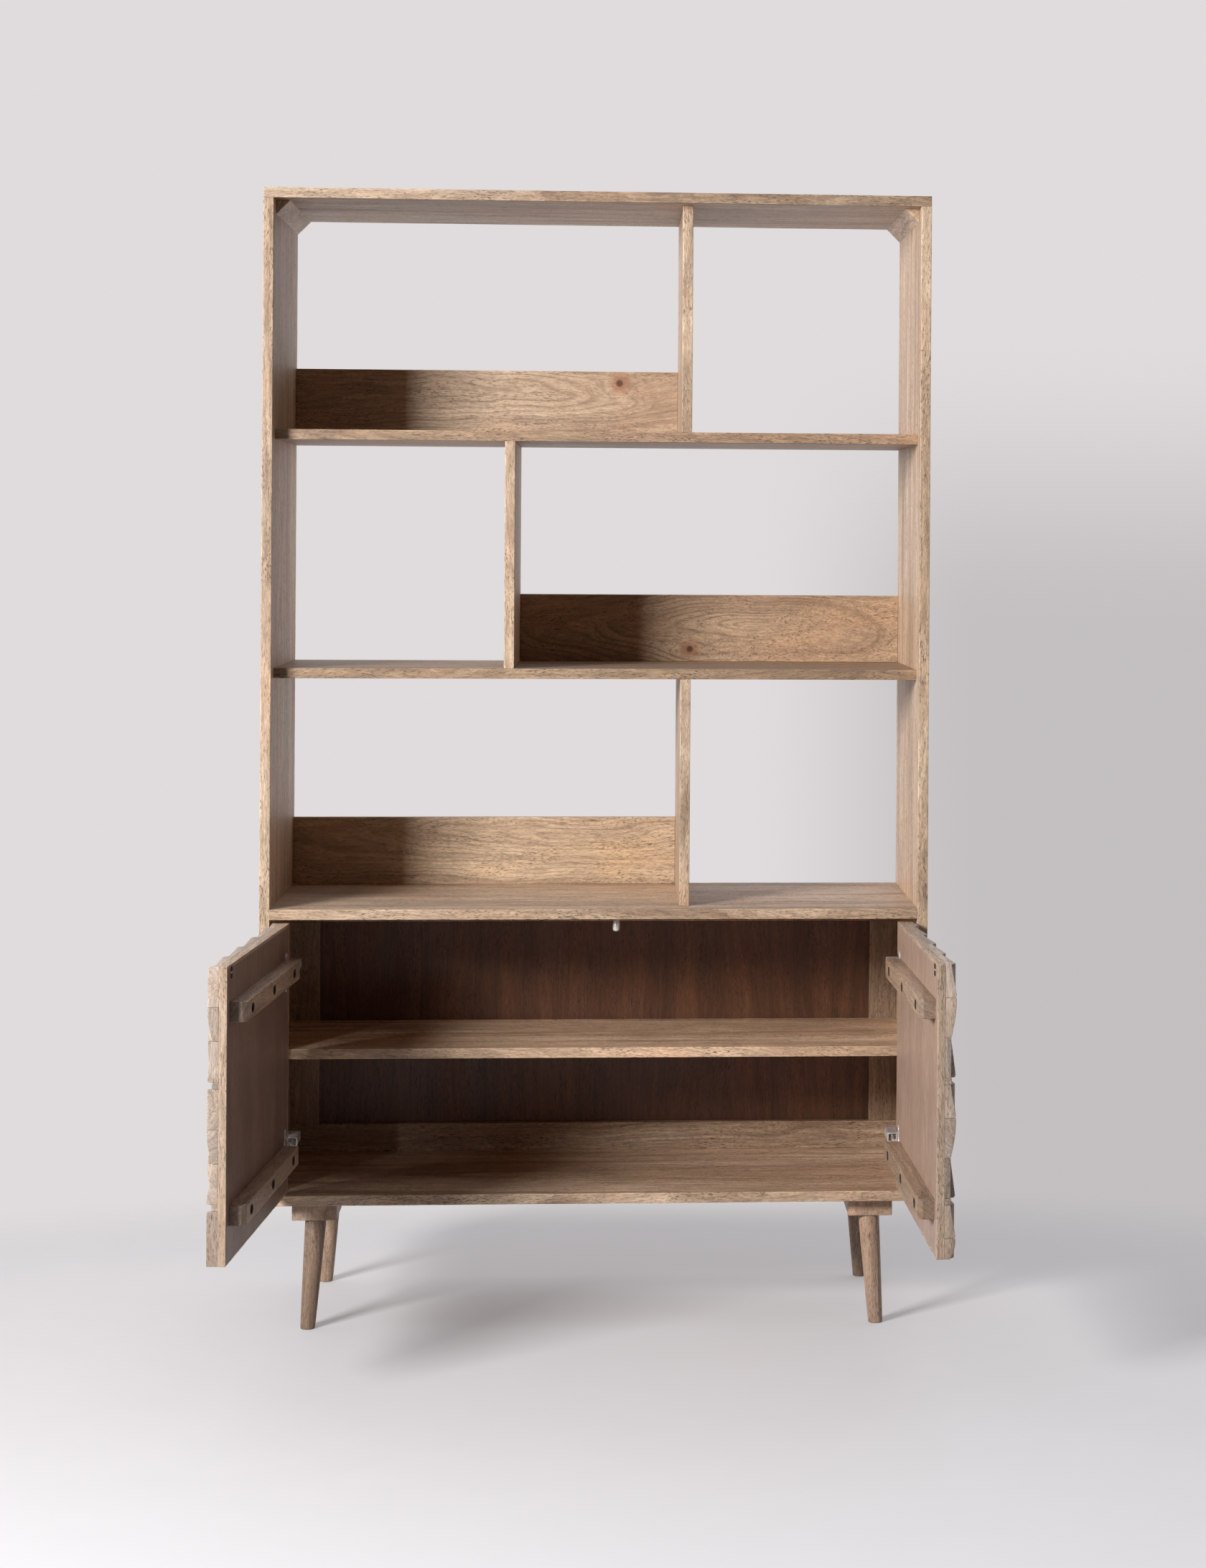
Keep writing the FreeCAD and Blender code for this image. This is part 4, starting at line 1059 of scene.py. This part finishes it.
def makeFloor(around=96, size=24):
    # Oval floor that fades into the plain backdrop past a share of its reach, a little paler to the right.
    (x0, y0), (wide, deep) = studio["floorMiddle"], studio["floorReach"]
    r = np.linspace(0.0, 1.0, size)[1:, None]
    angle = np.arange(around) / around * 2 * np.pi
    rings = np.stack([x0 + wide * r * np.cos(angle), y0 + deep * r * np.sin(angle), 0 * r + 0 * angle], -1)
    faces = [face[::-1] for face in gridFaces(len(r), around)] + [list(range(around))]
    floor = meshThing("paleFloor", rings.reshape(-1, 3), faces)
    material, tree = startMaterial("paleFloorPaint")
    place = addNode(tree, "TexCoord").outputs["Object"]
    inside = vectorCalc(tree, "ADD", place, (-x0, -y0, 0.0))
    inside = vectorCalc(tree, "MULTIPLY", inside, (1 / wide, 1 / deep, 0.0))
    fade = ranged(tree, vectorCalc(tree, "LENGTH", inside), *studio["floorFade"])
    across = addNode(tree, "SeparateXYZ", {0: place}).outputs[0]
    speckle = noise(tree, place, studio["speckle"], 3.0, 0.6)
    level = plus(tree, times(tree, across, studio["floorTilt"]),
                 ranged(tree, speckle, 0.3, 0.7, *studio["speckleLevel"], False))
    _, _, seen = rayKinds(tree)
    colour = tinted(tree, mixed(tree, seen, studio["floorBounce"], studio["floor"]), level)
    paint = addNode(tree, "BsdfPrincipled", {
        "Base Color": colour, "Roughness": studio["floorRough"], "Specular IOR Level": studio["floorGloss"]})
    glow = addNode(tree, "Emission", {
        "Color": (*studio["wall"], 1), "Strength": times(tree, seen, studio["lift"])})
    lifted = addNode(tree, "AddShader", {0: paint.outputs[0], 1: glow.outputs[0]})
    clear = addNode(tree, "BsdfTransparent")
    finished(tree, "MixShader", {0: fade, 1: lifted.outputs[0], 2: clear.outputs[0]})
    floor.data.materials.append(material)


def makeLight():
    # The world lights from behind and above; to the camera and in reflections it is the pale backdrop.
    # To the camera it carries a painted shadow low on the right, standing in for the case's shadow on a wall.
    world = bpy.data.worlds.new("studioWorld")
    bpy.context.scene.world = world
    world.use_nodes = True
    tree = world.node_tree
    tree.nodes.clear()

    def blend(factor, a, b):
        return addNode(tree, "Mix", {0: factor, 2: a, 3: b}).outputs[0]
    way = addNode(tree, "TexCoord").outputs["Generated"]
    toRight, toBack, up = addNode(tree, "SeparateXYZ", {0: way}).outputs
    lit = greater(tree, ranged(tree, toBack, *studio["litBack"]), ranged(tree, up, *studio["litUp"]))
    camera, shiny, seen = rayKinds(tree)
    level = blend(shiny, blend(lit, studio["frontLight"], studio["backLight"]),
                  blend(lit, studio["glossFront"], 1.0))
    corner = times(tree, ranged(tree, toRight, *studio["shadeRight"]),
                   ranged(tree, up, *studio["shadeUp"], 1.0, 0.0))
    level = blend(camera, level, ranged(tree, corner, 0.0, 1.0, 1.0, 1.0 - studio["shade"], False))
    colour = mixed(tree, seen, studio["fillTint"], studio["wall"])
    finished(tree, "Background", {"Color": colour, "Strength": level}, "OutputWorld")
    lamp = bpy.data.lights.new("keySoftbox", "AREA")
    lamp.shape = "SQUARE"
    lamp.size = studio["keySize"]
    lamp.energy = studio["keyPower"]
    key = linked("keySoftbox", lamp)
    key.location = studio["keySpot"]
    key.rotation_euler = Vector(studio["keyWay"]).to_track_quat("-Z", "Y").to_euler()


cameraLook = {"place": (0.02119, -5.19236, 1.30242), "yaw": 4.141, "roll": 0.359, "focal": 4371.55,
              "centre": (1167.59, 754.70), "frame": (1680, 2184), "sensor": 36.0}


def makeCamera():
    # Level camera: its forward direction turned right by the yaw, its sides by the roll. The lens and
    # shift follow from the focal length and the optical centre, both in pixels of the frame.
    look = cameraLook
    wide, high = look["frame"]
    yaw, roll = math.radians(look["yaw"]), math.radians(look["roll"])
    forward = Vector((math.sin(yaw), math.cos(yaw), 0))
    flat, up = Vector((math.cos(yaw), -math.sin(yaw), 0)), Vector((0, 0, 1))
    right = flat * math.cos(roll) + up * math.sin(roll)
    top = up * math.cos(roll) - flat * math.sin(roll)
    data = bpy.data.cameras.new("camera")
    data.sensor_width = look["sensor"]
    data.lens = look["sensor"] * look["focal"] / high
    data.shift_x = (wide / 2 - look["centre"][0]) / high
    data.shift_y = (look["centre"][1] - high / 2) / high
    camera = linked("camera", data)
    turn = Matrix((right, top, -forward)).transposed().to_4x4()
    camera.matrix_world = Matrix.Translation(look["place"]) @ turn
    bpy.context.scene.camera = camera


makeFloor()
makeLight()
makeCamera()
bpy.context.scene.view_settings.view_transform = "Standard"
print("studio built")

bpy.context.view_layer.update()
